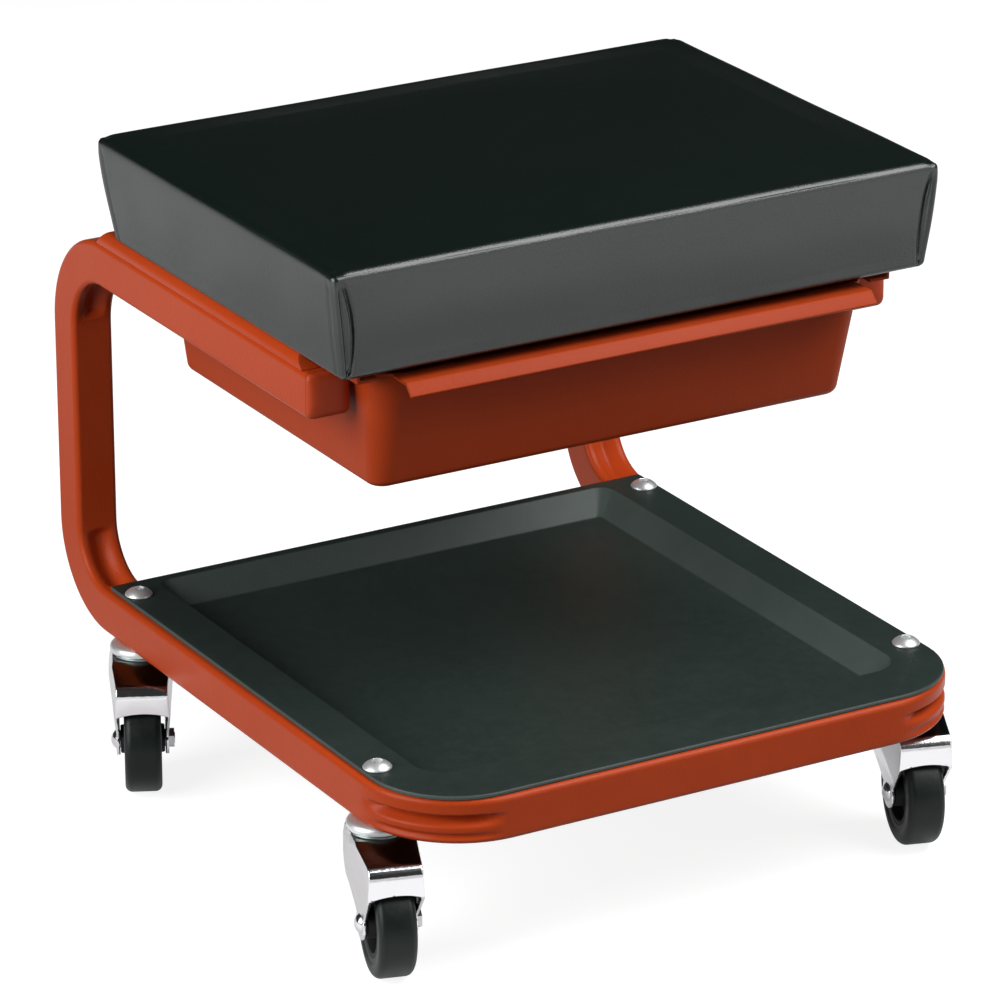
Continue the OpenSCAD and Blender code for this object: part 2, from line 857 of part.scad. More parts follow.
module kingpin()
    color(plain_metal)
        difference() {
            union() {
                translate([0, 0, kingpin_low])
                    cylinder(d = kingpin_flange_d, h = kingpin_flange_t);
                translate([0, 0, kingpin_low])
                    cylinder(d = kingpin_d, h = race_low - kingpin_low);
            }
            translate([0, 0, kingpin_low - over])
                cylinder(d = bolt_d + 2 * hole_gap, h = race_low - kingpin_low + 2 * over);
        }

module balls()
    color(bright_metal)
        for (i = [0 : ball_count - 1])
            rotate([0, 0, 4 * quarter * i / ball_count])
                translate([ball_circle_d / 2, 0, ball_z])
                    sphere(d = ball_d);

// The fork seen from its side: crown, hood, nose and legs; the hollow runs down past the legs
function fork_side(inset) =
    let (
        back = fork_back - inset,
        root = fork_back - inset * tan((quarter - nose_angle) / 2),
        nose = [
            for (i = [0 : nose_steps])
                let (a = nose_angle * (1 - i / nose_steps))
                [fork_nose - nose_r, nose_z] + (nose_r - inset) * [cos(a), sin(a)]
        ],
        crown = [[-back, crown_top - inset], [root, crown_top - inset]]
    )
    inset > 0
        ? concat(crown, nose, [[fork_nose - inset, fork_deep], [-back, fork_deep]])
        : concat(crown, nose, [
            [fork_nose, hood_low],
            [trail, axle_z] + boss_r * [cos(boss_front_angle), sin(boss_front_angle)],
            [trail, axle_z],
            [trail, axle_z] + boss_r * [cos(boss_rear_angle), sin(boss_rear_angle)],
            [-fork_back * knee_shares[0], axle_z + fork_span * knee_shares[1]],
            [-fork_back, axle_z + fork_span * skirt_share]
        ]);

// The fork seen from the front: its sides swell between the crown and the legs
function fork_front(inset) =
    let (
        side = [
            for (g = girth_shares)
                [
                    leg_x + fork_bulge * g[1] - inset,
                    min(axle_z + fork_span * g[0], crown_top - inset)
                ]
        ],
        foot = [leg_x - inset, fork_deep]
    )
    concat(side, [foot, [-foot[0], foot[1]]], [for (p = reversed(side)) [-p[0], p[1]]]);

// The space inside the fork's three outlines
module fork_form(inset)
    intersection() {
        rotate([quarter, 0, -quarter])
            linear_extrude(2 * (fork_body_r + over), center = true) {
                polygon(fork_side(inset));
                if (inset == 0)
                    translate([trail, axle_z])
                        circle(r = boss_r);
            }
        rotate([quarter, 0, 0])
            linear_extrude(2 * (fork_nose + over), center = true)
                polygon(fork_front(inset));
        translate([0, 0, fork_deep])
            linear_extrude(crown_top - fork_deep) {
                circle(r = fork_body_r - inset);
                polygon([
                    [fork_body_r - inset, 0],
                    [-fork_body_r + inset, 0],
                    [inset - nose_x, -fork_nose],
                    [nose_x - inset, -fork_nose]
                ]);
            }
    }

module fork()
    color(bright_metal)
        difference() {
            union() {
                fork_form(0);
                translate([0, 0, crown_low])
                    cylinder(r = crown_rim_r, h = crown_rim_top - crown_low);
            }
            fork_form(fork_t);
            translate([0, 0, crown_top])
                cylinder(r = crown_rim_r - crown_rim_t, h = crown_rim_top - crown_top + over);
            translate([0, 0, crown_low - over])
                cylinder(d = kingpin_d + 2 * run_gap, h = fork_t + 2 * over);
            at_axle() {
                cylinder(d = axle_d + 2 * run_gap, h = 2 * (leg_x + over), center = true);
                cylinder(r = axle_z + hood_gap, h = wheel_w + 2 * hood_gap, center = true);
            }
        }

module bush()
    color(plain_metal)
        at_axle()
            difference() {
                cylinder(d = bush_d, h = fork_gap, center = true);
                cylinder(d = axle_d + 2 * run_gap, h = fork_gap + 2 * over, center = true);
            }

module axle_bolt()
    color(bright_metal)
        at_axle()
            translate([0, 0, -leg_x]) {
                cylinder(d = axle_d, h = 2 * leg_x + axle_nut_h + axle_tail);
                mirror([0, 0, 1])
                    dome_head(axle_head_d, axle_head_h);
            }

module axle_nut()
    color(plain_metal)
        at_axle()
            translate([0, 0, leg_x])
                difference() {
                    hexagon(axle_nut_af, axle_nut_h);
                    translate([0, 0, -over])
                        cylinder(d = axle_d + 2 * run_gap, h = axle_nut_h + 2 * over);
                }

// The hub turns on the bush: a boss, a web and a rim
module hub()
    color(black_plastic)
        at_axle()
            difference() {
                union() {
                    cylinder(d = hub_boss_d, h = hub_boss_w, center = true);
                    difference() {
                        cylinder(d = hub_d, h = hub_w, center = true);
                        for (side = [0, 1])
                            mirror([0, 0, side])
                                translate([0, 0, hub_web_t / 2])
                                    cylinder(d = hub_d - 2 * hub_rim_t, h = hub_w);
                    }
                }
                cylinder(d = bush_d + 2 * run_gap, h = hub_boss_w + 2 * over, center = true);
            }

// The tyre: a seat as wide as the hub and a tread with round shoulders
module tyre() {
    seat_r = hub_d / 2 + press_gap;
    tread_r = seat_r + tyre_seat_h;
    color(black_rubber)
        at_axle()
            rotate_extrude() {
                translate([seat_r, -hub_w / 2])
                    square([tyre_seat_h, hub_w]);
                translate([tread_r, -wheel_w / 2])
                    square([axle_z - tyre_round - tread_r, wheel_w]);
                translate([tread_r, tyre_round - wheel_w / 2])
                    square([axle_z - tread_r, wheel_w - 2 * tyre_round]);
                for (side = [-1, 1])
                    translate([axle_z - tyre_round, side * (wheel_w / 2 - tyre_round)])
                        circle(r = tyre_round);
            }
}

frame_tube();
rail_end_caps();
seat_spacer_left();
seat_spacer_right();
seat_board();
seat_foam();
seat_cover();
cover_staples();
seat_screws();
drawer();
tray();
tray_bolts();
caster_nuts();
for (corner = CASTERS) {
    at_caster(corner) top_race();
    at_caster(corner) kingpin();
    at_caster(corner) balls();
    at_caster(corner) fork();
    at_caster(corner) bush();
    at_caster(corner) axle_bolt();
    at_caster(corner) axle_nut();
    at_caster(corner) hub();
    at_caster(corner) tyre();
}
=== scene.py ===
"""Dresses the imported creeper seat: its bent tube frame, cushion, drawer, tray and casters, and the studio."""

from __future__ import annotations

import logging
import math
from dataclasses import dataclass, replace
from enum import Enum
from typing import Any, Callable, Iterable, Sequence

import bmesh
import bpy
import numpy as np
from mathutils import Matrix, Vector, noise


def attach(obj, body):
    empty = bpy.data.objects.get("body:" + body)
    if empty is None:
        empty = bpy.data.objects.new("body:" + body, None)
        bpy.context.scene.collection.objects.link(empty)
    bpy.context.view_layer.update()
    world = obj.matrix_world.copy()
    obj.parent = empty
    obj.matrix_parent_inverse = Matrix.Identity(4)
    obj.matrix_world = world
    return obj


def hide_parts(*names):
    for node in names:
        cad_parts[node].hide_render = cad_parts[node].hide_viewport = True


LOG = logging.getLogger("creeper_seat")
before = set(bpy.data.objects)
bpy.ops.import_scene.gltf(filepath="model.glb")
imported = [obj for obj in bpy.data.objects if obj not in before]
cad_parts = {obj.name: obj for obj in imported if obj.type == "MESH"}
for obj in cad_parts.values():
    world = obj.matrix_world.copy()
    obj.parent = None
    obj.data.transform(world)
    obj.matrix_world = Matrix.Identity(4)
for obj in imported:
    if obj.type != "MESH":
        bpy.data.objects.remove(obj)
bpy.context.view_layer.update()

Colour = tuple[float, float, float]
Point = tuple[float, float, float]
Faces = list[tuple[int, ...]]
Feed = Any

SHADER_TREE, GEOMETRY_TREE = "ShaderNodeTree", "GeometryNodeTree"
GEOMETRY, MATERIAL = "NodeSocketGeometry", "NodeSocketMaterial"
SOCKET_KINDS = {float: "NodeSocketFloat", int: "NodeSocketInt", tuple: "NodeSocketColor"}
COLOUR_OUT, HEIGHT_OUT = ("Colour", "NodeSocketColor"), ("Height", "NodeSocketFloat")
GREY = (0.5, 0.5, 0.5, 1.0)
TINY = 1e-9
QUARTER = math.pi / 2


def clamped(value: float, start: float = 0.0, length: float = 1.0) -> float:
    """How far a value is past a start, as a share of a length, from 0 to 1."""
    return min(max((value - start) / length, 0.0), 1.0)


def arc(count: int, turn: float = QUARTER, first: int = 0) -> list[float]:
    """Angles of a turn in even steps, from the step named first."""
    return [turn * i / count for i in range(first, count + 1)]


# Node trees


class Graph:
    """Adds nodes to one node tree and links them."""

    def __init__(self, tree: bpy.types.NodeTree) -> None:
        """Keeps the tree that the nodes go into."""
        self.tree = tree
        self._place: bpy.types.NodeSocket | None = None

    def feed(self, node: bpy.types.Node, key: int | str, value: Feed) -> None:
        """Links a socket to an input, or sets its value."""
        if isinstance(value, bpy.types.NodeSocket):
            self.tree.links.new(value, node.inputs[key])
        else:
            node.inputs[key].default_value = value

    def node(self, kind: str, feeds: dict[int | str, Feed] | None = None, **settings: Any) -> bpy.types.Node:
        """Adds a node.

        Args:
            kind: Blender's name for the kind of node.
            feeds: for each input, a socket to link or a value to set.
            **settings: properties of the node.

        Returns:
            The new node.
        """
        made = self.tree.nodes.new(kind)
        for key, value in settings.items():
            setattr(made, key, value)
        for key, value in (feeds or {}).items():
            self.feed(made, key, value)
        return made

    def math(self, operation: str, a: Feed, b: Feed = 0.0, c: Feed = 0.0) -> bpy.types.NodeSocket:
        """Adds a Math node and gives its result."""
        return self.node("ShaderNodeMath", {0: a, 1: b, 2: c}, operation=operation).outputs[0]

    def vector(self, operation: str, a: Feed, b: Feed = None, scale: Feed = None) -> bpy.types.NodeSocket:
        """Adds a Vector Math node.

        Args:
            operation: what it works out.
            a: first vector.
            b: second vector, where it has one.
            scale: factor, for SCALE.

        Returns:
            Its result: a number for DOT_PRODUCT and LENGTH, otherwise a vector.
        """
        feeds = {key: value for key, value in ((0, a), (1, b), ("Scale", scale)) if value is not None}
        made = self.node("ShaderNodeVectorMath", feeds, operation=operation)
        return made.outputs["Value" if operation in ("DOT_PRODUCT", "LENGTH") else "Vector"]

    def ramp(self, value: Feed, stops: Sequence[tuple[float, float]]) -> bpy.types.NodeSocket:
        """Adds a grey ramp.

        Args:
            value: what it reads.
            stops: positions and their greys.

        Returns:
            The grey.
        """
        made = self.node("ShaderNodeValToRGB", {0: value})
        elements = made.color_ramp.elements
        while len(elements) < len(stops):
            elements.new(0.5)
        for element, (place, grey) in zip(elements, stops):
            element.position = place
            element.color = (grey, grey, grey, 1.0)
        return made.outputs[0]

    def mix(self, share: Feed, a: Feed, b: Feed, **settings: Any) -> bpy.types.NodeSocket:
        """Mixes the colours a and b by a share."""
        return self.node("ShaderNodeMix", {0: share, 6: a, 7: b}, data_type="RGBA", **settings).outputs[2]

    def blend(self, share: Feed, a: Feed, b: Feed) -> bpy.types.NodeSocket:
        """Mixes the numbers a and b by a share."""
        rest = self.math("MULTIPLY", a, self.math("SUBTRACT", 1.0, share))
        return self.math("ADD", rest, self.math("MULTIPLY", b, share))

    def place(self) -> bpy.types.NodeSocket:
        """Gives the place on the object, from one node for the whole tree."""
        self._place = self._place or self.node("ShaderNodeTexCoord").outputs["Object"]
        return self._place

    def noise(self, scale: Feed, detail: float, **feeds: Feed) -> bpy.types.NodeSocket:
        """Adds a noise over the object and gives its strength."""
        reads = {"Vector": self.place(), "Scale": scale, "Detail": detail, **feeds}
        return self.node("ShaderNodeTexNoise", reads).outputs[0]

    def upward(self) -> bpy.types.NodeSocket:
        """Gives how far the surface faces up, from -1 to 1."""
        return self.node("ShaderNodeSeparateXYZ", {0: self.node("ShaderNodeNewGeometry").outputs["Normal"]}).outputs[2]

    def effect(self, name: str, feeds: dict[int | str, Feed]) -> bpy.types.NodeSocket:
        """Adds one of the shared effects and gives its result."""
        return self.node("ShaderNodeGroup", feeds, node_tree=EFFECTS.get(name)).outputs[0]


class Group(Graph):
    """A node group with named inputs and one output."""

    def __init__(self, name: str, kind: str, inputs: dict[str, Any], output: tuple[str, str]) -> None:
        """Starts the group.

        Args:
            name: name of the group.
            kind: kind of tree.
            inputs: for each input its value, or its socket type where it has none.
            output: name and socket type of the output.
        """
        super().__init__(bpy.data.node_groups.new(name, kind))
        sockets = self.tree.interface
        for label, value in inputs.items():
            socket = value if isinstance(value, str) else SOCKET_KINDS[type(value)]
            made = sockets.new_socket(name=label, in_out="INPUT", socket_type=socket)
            if not isinstance(value, str):
                made.default_value = value
        sockets.new_socket(name=output[0], in_out="OUTPUT", socket_type=output[1])
        self.given = self.node("NodeGroupInput").outputs
        self._end = self.node("NodeGroupOutput")

    def close(self, result: bpy.types.NodeSocket) -> bpy.types.NodeTree:
        """Links the result to the output and gives the tree."""
        self.feed(self._end, 0, result)
        return self.tree

    def realized(self, geometry: bpy.types.NodeSocket) -> bpy.types.NodeTree:
        """Ends a geometry tree with real geometry in its material."""
        real = self.node("GeometryNodeRealizeInstances", {0: geometry}).outputs[0]
        painted = self.node("GeometryNodeSetMaterial", {0: real, "Material": self.given["Material"]})
        return self.close(painted.outputs[0])

    def scattered(self, shape: bpy.types.NodeSocket, turn: bpy.types.NodeSocket) -> bpy.types.NodeTree:
        """Ends a geometry tree with a shape at each of its points.

        Args:
            shape: the shape.
            turn: how far each is turned about Z.

        Returns:
            The tree.
        """
        swing = self.node("ShaderNodeCombineXYZ", {2: turn}).outputs[0]
        placed = self.node("GeometryNodeInstanceOnPoints", {
            "Points": self.node("GeometryNodeMeshToPoints", {0: self.given["Geometry"]}).outputs[0],
            "Instance": shape, "Rotation": self.node("FunctionNodeEulerToRotation", {0: swing}).outputs[0],
        })
        return self.realized(placed.outputs[0])


class SurfaceEffects:
    """The effects that several finishes share, each a shader node group built once."""

    def __init__(self) -> None:
        """Starts with no group built."""
        self._made: dict[str, bpy.types.NodeTree] = {}

    def get(self, name: str) -> bpy.types.NodeTree:
        """Gives a group, and builds it at its first use.

        Args:
            name: name of the group: tone, handling, pebble, ripple, dust, or the one that paints light and shade by
                slope.

        Returns:
            The group's tree.
        """
        if name not in self._made:
            self._made[name] = getattr(self, f"_{name}")()
        return self._made[name]

    def _tone(self) -> bpy.types.NodeTree:
        """Colour that drifts a little over the surface."""
        inputs = {"Colour": GREY, "Deep": GREY, "Scale": 12.0, "Spread": 0.5}
        group = Group("drifting_tone", SHADER_TREE, inputs, COLOUR_OUT)
        scale = group.given["Scale"]
        both = group.blend(0.25, group.noise(scale, 4.0), group.noise(group.math("MULTIPLY", scale, 9.0), 2.0))
        share = group.math("MULTIPLY", group.ramp(both, [(0.36, 0.0), (0.64, 1.0)]), group.given["Spread"])
        return group.close(group.mix(share, group.given["Colour"], group.given["Deep"]))

    def _handling(self) -> bpy.types.NodeTree:
        """Roughness with rubbed and duller patches."""
        inputs = {"Roughness": 0.4, "Spread": 0.1, "Scale": 18.0}
        group = Group("handled_roughness", SHADER_TREE, inputs, ("Roughness", "NodeSocketFloat"))
        smudge = group.noise(group.given["Scale"], 5.0, Roughness=0.6, Distortion=0.4)
        drift = group.math("MULTIPLY", group.math("SUBTRACT", smudge, 0.5), 2.0)
        wide = group.math("MULTIPLY", drift, group.given["Spread"])
        return group.close(group.math("ADD", group.given["Roughness"], wide))

    def _pebble(self) -> bpy.types.NodeTree:
        """Height of small rounded grains between fine creases, as on vinyl and moulded plastic."""
        group = Group("pebbled_height", SHADER_TREE, {"Scale": 900.0, "Mix": 0.5}, HEIGHT_OUT)
        scale = group.given["Scale"]
        cells = group.node("ShaderNodeTexVoronoi", {"Vector": group.place(), "Scale": scale}, feature="SMOOTH_F1")
        grains = group.math("SUBTRACT", 1.0, cells.outputs["Distance"])
        soft = group.noise(group.math("MULTIPLY", scale, 0.35), 3.0)
        return group.close(group.blend(group.given["Mix"], soft, grains))

    def _ripple(self) -> bpy.types.NodeTree:
        """Height of a surface that is slightly uneven, as sprayed paint or a thin moulding."""
        group = Group("rippled_height", SHADER_TREE, {"Scale": 300.0, "Broad": 20.0, "Share": 0.5}, HEIGHT_OUT)
        small, large = group.noise(group.given["Scale"], 2.0), group.noise(group.given["Broad"], 1.0)
        return group.close(group.blend(group.given["Share"], small, large))

    def _dust(self) -> bpy.types.NodeTree:
        """Colour with a little pale dust on what faces upwards."""
        inputs = {"Colour": GREY, "Dust": (0.3, 0.29, 0.27, 1.0), "Amount": 0.1}
        group = Group("settled_dust", SHADER_TREE, inputs, COLOUR_OUT)
        specks = group.ramp(group.noise(160.0, 6.0, Roughness=0.7), [(0.42, 0.0), (0.72, 1.0)])
        mask = group.math("MULTIPLY", specks, group.noise(14.0, 3.0))
        mask = group.math("MULTIPLY", mask, group.math("MAXIMUM", group.upward(), 0.0))
        share = group.math("MULTIPLY", mask, group.given["Amount"])
        return group.close(group.mix(share, group.given["Colour"], group.given["Dust"]))

    def _slope_shading(self) -> bpy.types.NodeTree:
        """Painted light and shade: colour mixed towards a second colour where the surface slopes or stands, for walls
        and flats that catch light and reflections differently.
        """
        group = Group("rubbed_slopes", SHADER_TREE, {"Colour": GREY, "Rubbed": GREY, "Amount": 0.5}, COLOUR_OUT)
        slope = group.math("SUBTRACT", 1.0, group.math("ABSOLUTE", group.upward()))
        steep = group.ramp(slope, [(0.06, 0.0), (0.30, 1.0)])
        # patchy spread of the painted slope light
        patchy = group.math("MULTIPLY_ADD", group.noise(24.0, 5.0, Roughness=0.6), 0.8, 0.6)
        share = group.math("MULTIPLY", group.math("MULTIPLY", steep, patchy), group.given["Amount"])
        share = group.math("MINIMUM", share, 1.0)
        return group.close(group.mix(share, group.given["Colour"], group.given["Rubbed"]))


EFFECTS = SurfaceEffects()


# Finishes


class Relief(Enum):
    """Which relief a finish shows up close."""

    PEBBLE = "pebble"
    RIPPLE = "ripple"
    BRUSHED = "brushed"
    PLIES = "plies"


@dataclass(frozen=True)
class Finish:
    """One finish, with the values of its material."""

    name: str
    colour: Colour
    deep: Colour
    roughness: float
    relief: Relief
    relief_scale: float
    relief_height: float
    tone_scale: float = 12.0
    tone_spread: float = 0.5
    rough_spread: float = 0.05
    rough_scale: float = 18.0
    metallic: float = 0.0
    specular: float = 0.5
    broad: float = 20.0
    broad_share: float = 0.5
    dust: float = 0.0
    # colour that steep parts are mixed towards: painted light and shade by slope
    slope_shading_colour: Colour | None = None
    slope_shading_share: float = 0.9
    brushed_share: float = 0.12
    ply_scale: float = 78.0
    ply_shade: float = 0.7
    grain: Point = (12.0, 260.0, 260.0)

    def material(self) -> bpy.types.Material:
        """Builds the material, or gives the one already built.

        Returns:
            The material.
        """
        found = bpy.data.materials.get(self.name)
        if found:
            return found
        made = bpy.data.materials.new(self.name)
        made.use_nodes = True
        made.diffuse_color = (*self.colour, 1.0)
        graph = Graph(made.node_tree)
        handling = {"Roughness": self.roughness, "Spread": self.rough_spread, "Scale": self.rough_scale}
        relief = {"Height": self._height(graph), "Strength": 1.0, "Distance": self.relief_height}
        reads = {
            "Metallic": self.metallic,
            "Specular IOR Level": self.specular,
            "Base Color": self._colour(graph),
            "Roughness": graph.effect("handling", handling),
            "Normal": graph.node("ShaderNodeBump", relief).outputs[0],
        }
        for key, value in reads.items():
            graph.feed(made.node_tree.nodes["Principled BSDF"], key, value)
        return made

    def _colour(self, graph: Graph) -> bpy.types.NodeSocket:
        """Colour of the surface, with its drift, plies, painted light and shade by slope, and dust.

        Args:
            graph: the material's graph.

        Returns:
            The colour.
        """
        colour = graph.effect("tone", {"Colour": (*self.colour, 1.0), "Deep": (*self.deep, 1.0),
                                       "Scale": self.tone_scale, "Spread": self.tone_spread})
        if self.relief is Relief.PLIES:
            bands = graph.ramp(self._plies(graph), [(0.3, 0.45), (0.6, 1.0)])
            colour = graph.mix(self.ply_shade, colour, bands, blend_type="MULTIPLY")
        # painted light and shade by slope: steep parts mixed towards a second colour
        if self.slope_shading_colour:
            slope_shading_colour = {"Colour": colour, "Rubbed": (*self.slope_shading_colour, 1.0), "Amount": self.slope_shading_share}
            colour = graph.effect("slope_shading", slope_shading_colour)
        if self.dust:
            colour = graph.effect("dust", {"Colour": colour, "Amount": self.dust})
        return colour

    @staticmethod
    def _stretched(graph: Graph, scales: Point, detail: float) -> bpy.types.NodeSocket:
        """Noise with its own scale along each axis."""
        drawn = graph.node("ShaderNodeMapping", {0: graph.place(), 3: scales}).outputs[0]
        return graph.node("ShaderNodeTexNoise", {"Vector": drawn, "Scale": 1.0, "Detail": detail}).outputs[0]

    def _plies(self, graph: Graph) -> bpy.types.NodeSocket:
        """Bands of plywood's layers, and its grain along X."""
        waves = {"Vector": graph.place(), "Scale": self.ply_scale, "Distortion": 0.6, "Detail": 2.0}
        layers = graph.node("ShaderNodeTexWave", waves, bands_direction="Z").outputs["Fac"]
        return graph.blend(0.5, layers, self._stretched(graph, self.grain, 6.0))

    def _height(self, graph: Graph) -> bpy.types.NodeSocket:
        """Height of the relief.

        Args:
            graph: the material's graph.

        Returns:
            The height, from 0 to 1.
        """
        if self.relief is Relief.PLIES:
            return self._plies(graph)
        scale = self.relief_scale
        if self.relief is Relief.BRUSHED:
            return self._stretched(graph, (scale, scale, scale * self.brushed_share), 4.0)
        feeds = {"Scale": scale}
        if self.relief is Relief.RIPPLE:
            feeds |= {"Broad": self.broad, "Share": self.broad_share}
        return graph.effect(self.relief.value, feeds)


PAINT = Finish(
    "powder_coat", (0.52, 0.060, 0.010), (0.45, 0.048, 0.008), 0.33, Relief.RIPPLE, 520.0, 0.00020,
    tone_scale=9.0, rough_spread=0.07, specular=0.15, broad=34.0, broad_share=0.35, dust=0.03,
)
DRAWER_SHELL = Finish(
    "drawer_shell", (0.44, 0.051, 0.009), (0.38, 0.042, 0.007), 0.42, Relief.RIPPLE, 700.0, 0.00025,
    tone_scale=7.0, rough_spread=0.06, specular=0.12, broad=16.0, broad_share=0.5, dust=0.03,
)
CAP_PLASTIC = Finish(
    "cap_plastic", (0.50, 0.060, 0.014), (0.43, 0.048, 0.011), 0.40, Relief.RIPPLE, 900.0, 0.00012,
    tone_scale=20.0, specular=0.2,
)
VINYL = Finish(
    "black_vinyl", (0.0020, 0.0075, 0.0058), (0.0014, 0.0058, 0.0044), 0.32, Relief.PEBBLE, 1500.0, 0.00014,
    tone_scale=10.0, rough_spread=0.05, rough_scale=9.0, specular=0.85, dust=0.004,
)
# Painted light: the steep walls of the recess are mixed paler than the floor, for how light falls on them.
TRAY_SKIN = Finish(
    "tray_skin", (0.0250, 0.0400, 0.0350), (0.0170, 0.0280, 0.0245), 0.46, Relief.RIPPLE, 1100.0, 0.0006,
    tone_scale=8.0, tone_spread=0.8, rough_spread=0.06, rough_scale=11.0, specular=0.30, broad=11.0,
    broad_share=0.75, dust=0.05, slope_shading_colour=(0.068, 0.090, 0.083),
)
CHROME = Finish(
    "chrome_plate", (0.80, 0.80, 0.82), (0.70, 0.70, 0.73), 0.16, Relief.RIPPLE, 420.0, 0.00018,
    tone_scale=60.0, rough_spread=0.06, rough_scale=60.0, metallic=1.0, broad=90.0, broad_share=0.6,
)
BOLT_PLATE = Finish(
    "bolt_plate", (0.86, 0.89, 0.89), (0.77, 0.80, 0.80), 0.40, Relief.RIPPLE, 900.0, 0.00008,
    tone_scale=90.0, rough_spread=0.05, rough_scale=90.0, metallic=0.75,
)
# Painted reflection: a dark base on flat and up-facing parts stands for the dark surroundings they mirror; steep sides
# are mixed back to chrome.
FORK_PLATE = replace(
    CHROME, name="fork_plate", colour=(0.110, 0.145, 0.135), deep=(0.060, 0.085, 0.078), roughness=0.18,
    slope_shading_colour=(0.80, 0.80, 0.82), slope_shading_share=2.0,
)
ZINC = Finish(
    "zinc_plate", (0.56, 0.57, 0.59), (0.42, 0.43, 0.46), 0.34, Relief.BRUSHED, 900.0, 0.00010,
    tone_scale=140.0, rough_spread=0.08, rough_scale=90.0, metallic=1.0,
)
STEEL = Finish(
    "ground_steel", (0.50, 0.50, 0.52), (0.40, 0.40, 0.43), 0.26, Relief.BRUSHED, 1400.0, 0.00006,
    tone_scale=150.0, rough_spread=0.06, rough_scale=120.0, metallic=1.0,
)
HUB_PLASTIC = Finish(
    "hub_plastic", (0.016, 0.018, 0.018), (0.011, 0.012, 0.012), 0.46, Relief.PEBBLE, 2600.0, 0.00006,
    tone_scale=60.0, rough_spread=0.07, rough_scale=80.0, dust=0.16,
)
RUBBER = Finish(
    "tyre_rubber", (0.0050, 0.0105, 0.0088), (0.0032, 0.0072, 0.0060), 0.42, Relief.PEBBLE, 2200.0, 0.00010,
    tone_scale=70.0, tone_spread=0.8, rough_spread=0.10, rough_scale=70.0, specular=0.3, dust=0.12,
)
FOAM = Finish(
    "open_foam", (0.72, 0.62, 0.36), (0.58, 0.48, 0.25), 0.95, Relief.PEBBLE, 700.0, 0.0008,
    tone_scale=40.0, specular=0.1,
)
PLYWOOD = Finish(
    "birch_plywood", (0.50, 0.34, 0.19), (0.38, 0.24, 0.12), 0.72, Relief.PLIES, 1.0, 0.00025,
    tone_scale=25.0, specular=0.25,
)


# Meshes


def add_object(name: str, data: Any) -> bpy.types.Object:
    """Adds an object with its data to the scene."""
    made = bpy.data.objects.new(name, data)
    bpy.context.scene.collection.objects.link(made)
    return made


def set_finish(mesh: bpy.types.Mesh, finish: Finish) -> None:
    """Gives a mesh one finish."""
    mesh.materials.clear()
    mesh.materials.append(finish.material())


def outward(piece: bpy.types.Object) -> None:
    """Merges doubled points and turns the faces outwards."""
    work = bmesh.new()
    work.from_mesh(piece.data)
    bmesh.ops.remove_doubles(work, verts=work.verts, dist=1e-6)
    bmesh.ops.recalc_face_normals(work, faces=work.faces)
    work.to_mesh(piece.data)
    work.free()


def sharpen(piece: bpy.types.Object, degrees: float) -> None:
    """Marks edges sharper than an angle as sharp."""
    piece.data.set_sharp_from_angle(angle=math.radians(degrees))


def link_mesh(name: str, shape: tuple[Any, Faces], finish: Finish, sharp: float | None = None) -> bpy.types.Object:
    """Makes a smooth-shaded object whose faces point outwards.

    Args:
        name: name of the piece.
        shape: its points, in metres, and its faces.
        finish: its finish.
        sharp: angle in degrees from which its edges are sharp.

    Returns:
        The object.
    """
    mesh = bpy.data.meshes.new(name)
    mesh.from_pydata([tuple(map(float, p)) for p in shape[0]], [], [tuple(f) for f in shape[1]])
    mesh.validate()
    mesh.shade_smooth()
    set_finish(mesh, finish)
    made = add_object(name, mesh)
    outward(made)
    if sharp:
        sharpen(made, sharp)
    return made


def evaluate(piece: bpy.types.Object) -> None:
    """Puts the result of a piece's modifiers into its mesh and removes them.

    Args:
        piece: the object.
    """
    graph = bpy.context.evaluated_depsgraph_get()
    graph.update()
    mesh = bpy.data.meshes.new_from_object(piece.evaluated_get(graph), depsgraph=graph)
    piece.modifiers.clear()
    piece.data = mesh
    mesh.name = piece.name


def modified(piece: bpy.types.Object, kind: str, **settings: Any) -> None:
    """Changes a piece's mesh by one modifier.

    Args:
        piece: the object.
        kind: kind of modifier.
        **settings: its properties.
    """
    made = piece.modifiers.new(kind.lower(), kind)
    for key, value in settings.items():
        setattr(made, key, value)
    evaluate(piece)


def bevelled(piece: bpy.types.Object, width: float, degrees: float) -> None:
    """Rounds the edges of a piece that are sharper than an angle."""
    modified(piece, "BEVEL", width=width, segments=3, limit_method="ANGLE", angle_limit=math.radians(degrees))


def points_of(piece: bpy.types.Object) -> np.ndarray:
    """Reads the points of a piece's mesh."""
    return np.array([v.co for v in piece.data.vertices])


def move_points(piece: bpy.types.Object, points: np.ndarray) -> None:
    """Writes the points of a piece's mesh."""
    piece.data.vertices.foreach_set("co", points.ravel())
    piece.data.update()


def eased(piece: bpy.types.Object, values: np.ndarray, rounds: int, weight: Any) -> np.ndarray:
    """Draws values towards the mean of their neighbours.

    Args:
        piece: the object whose edges join the points.
        values: a row for each point.
        rounds: how many times.
        weight: how far each time, from 0 to 1.

    Returns:
        The evened values.
    """
    edges = np.array([e.vertices[:] for e in piece.data.edges])
    count = np.bincount(edges.ravel(), minlength=len(values))[:, None]
    for _ in range(rounds):
        total = np.zeros_like(values)
        np.add.at(total, edges[:, 0], values[edges[:, 1]])
        np.add.at(total, edges[:, 1], values[edges[:, 0]])
        values = values + weight * (total / np.maximum(count, 1) - values)
    return values


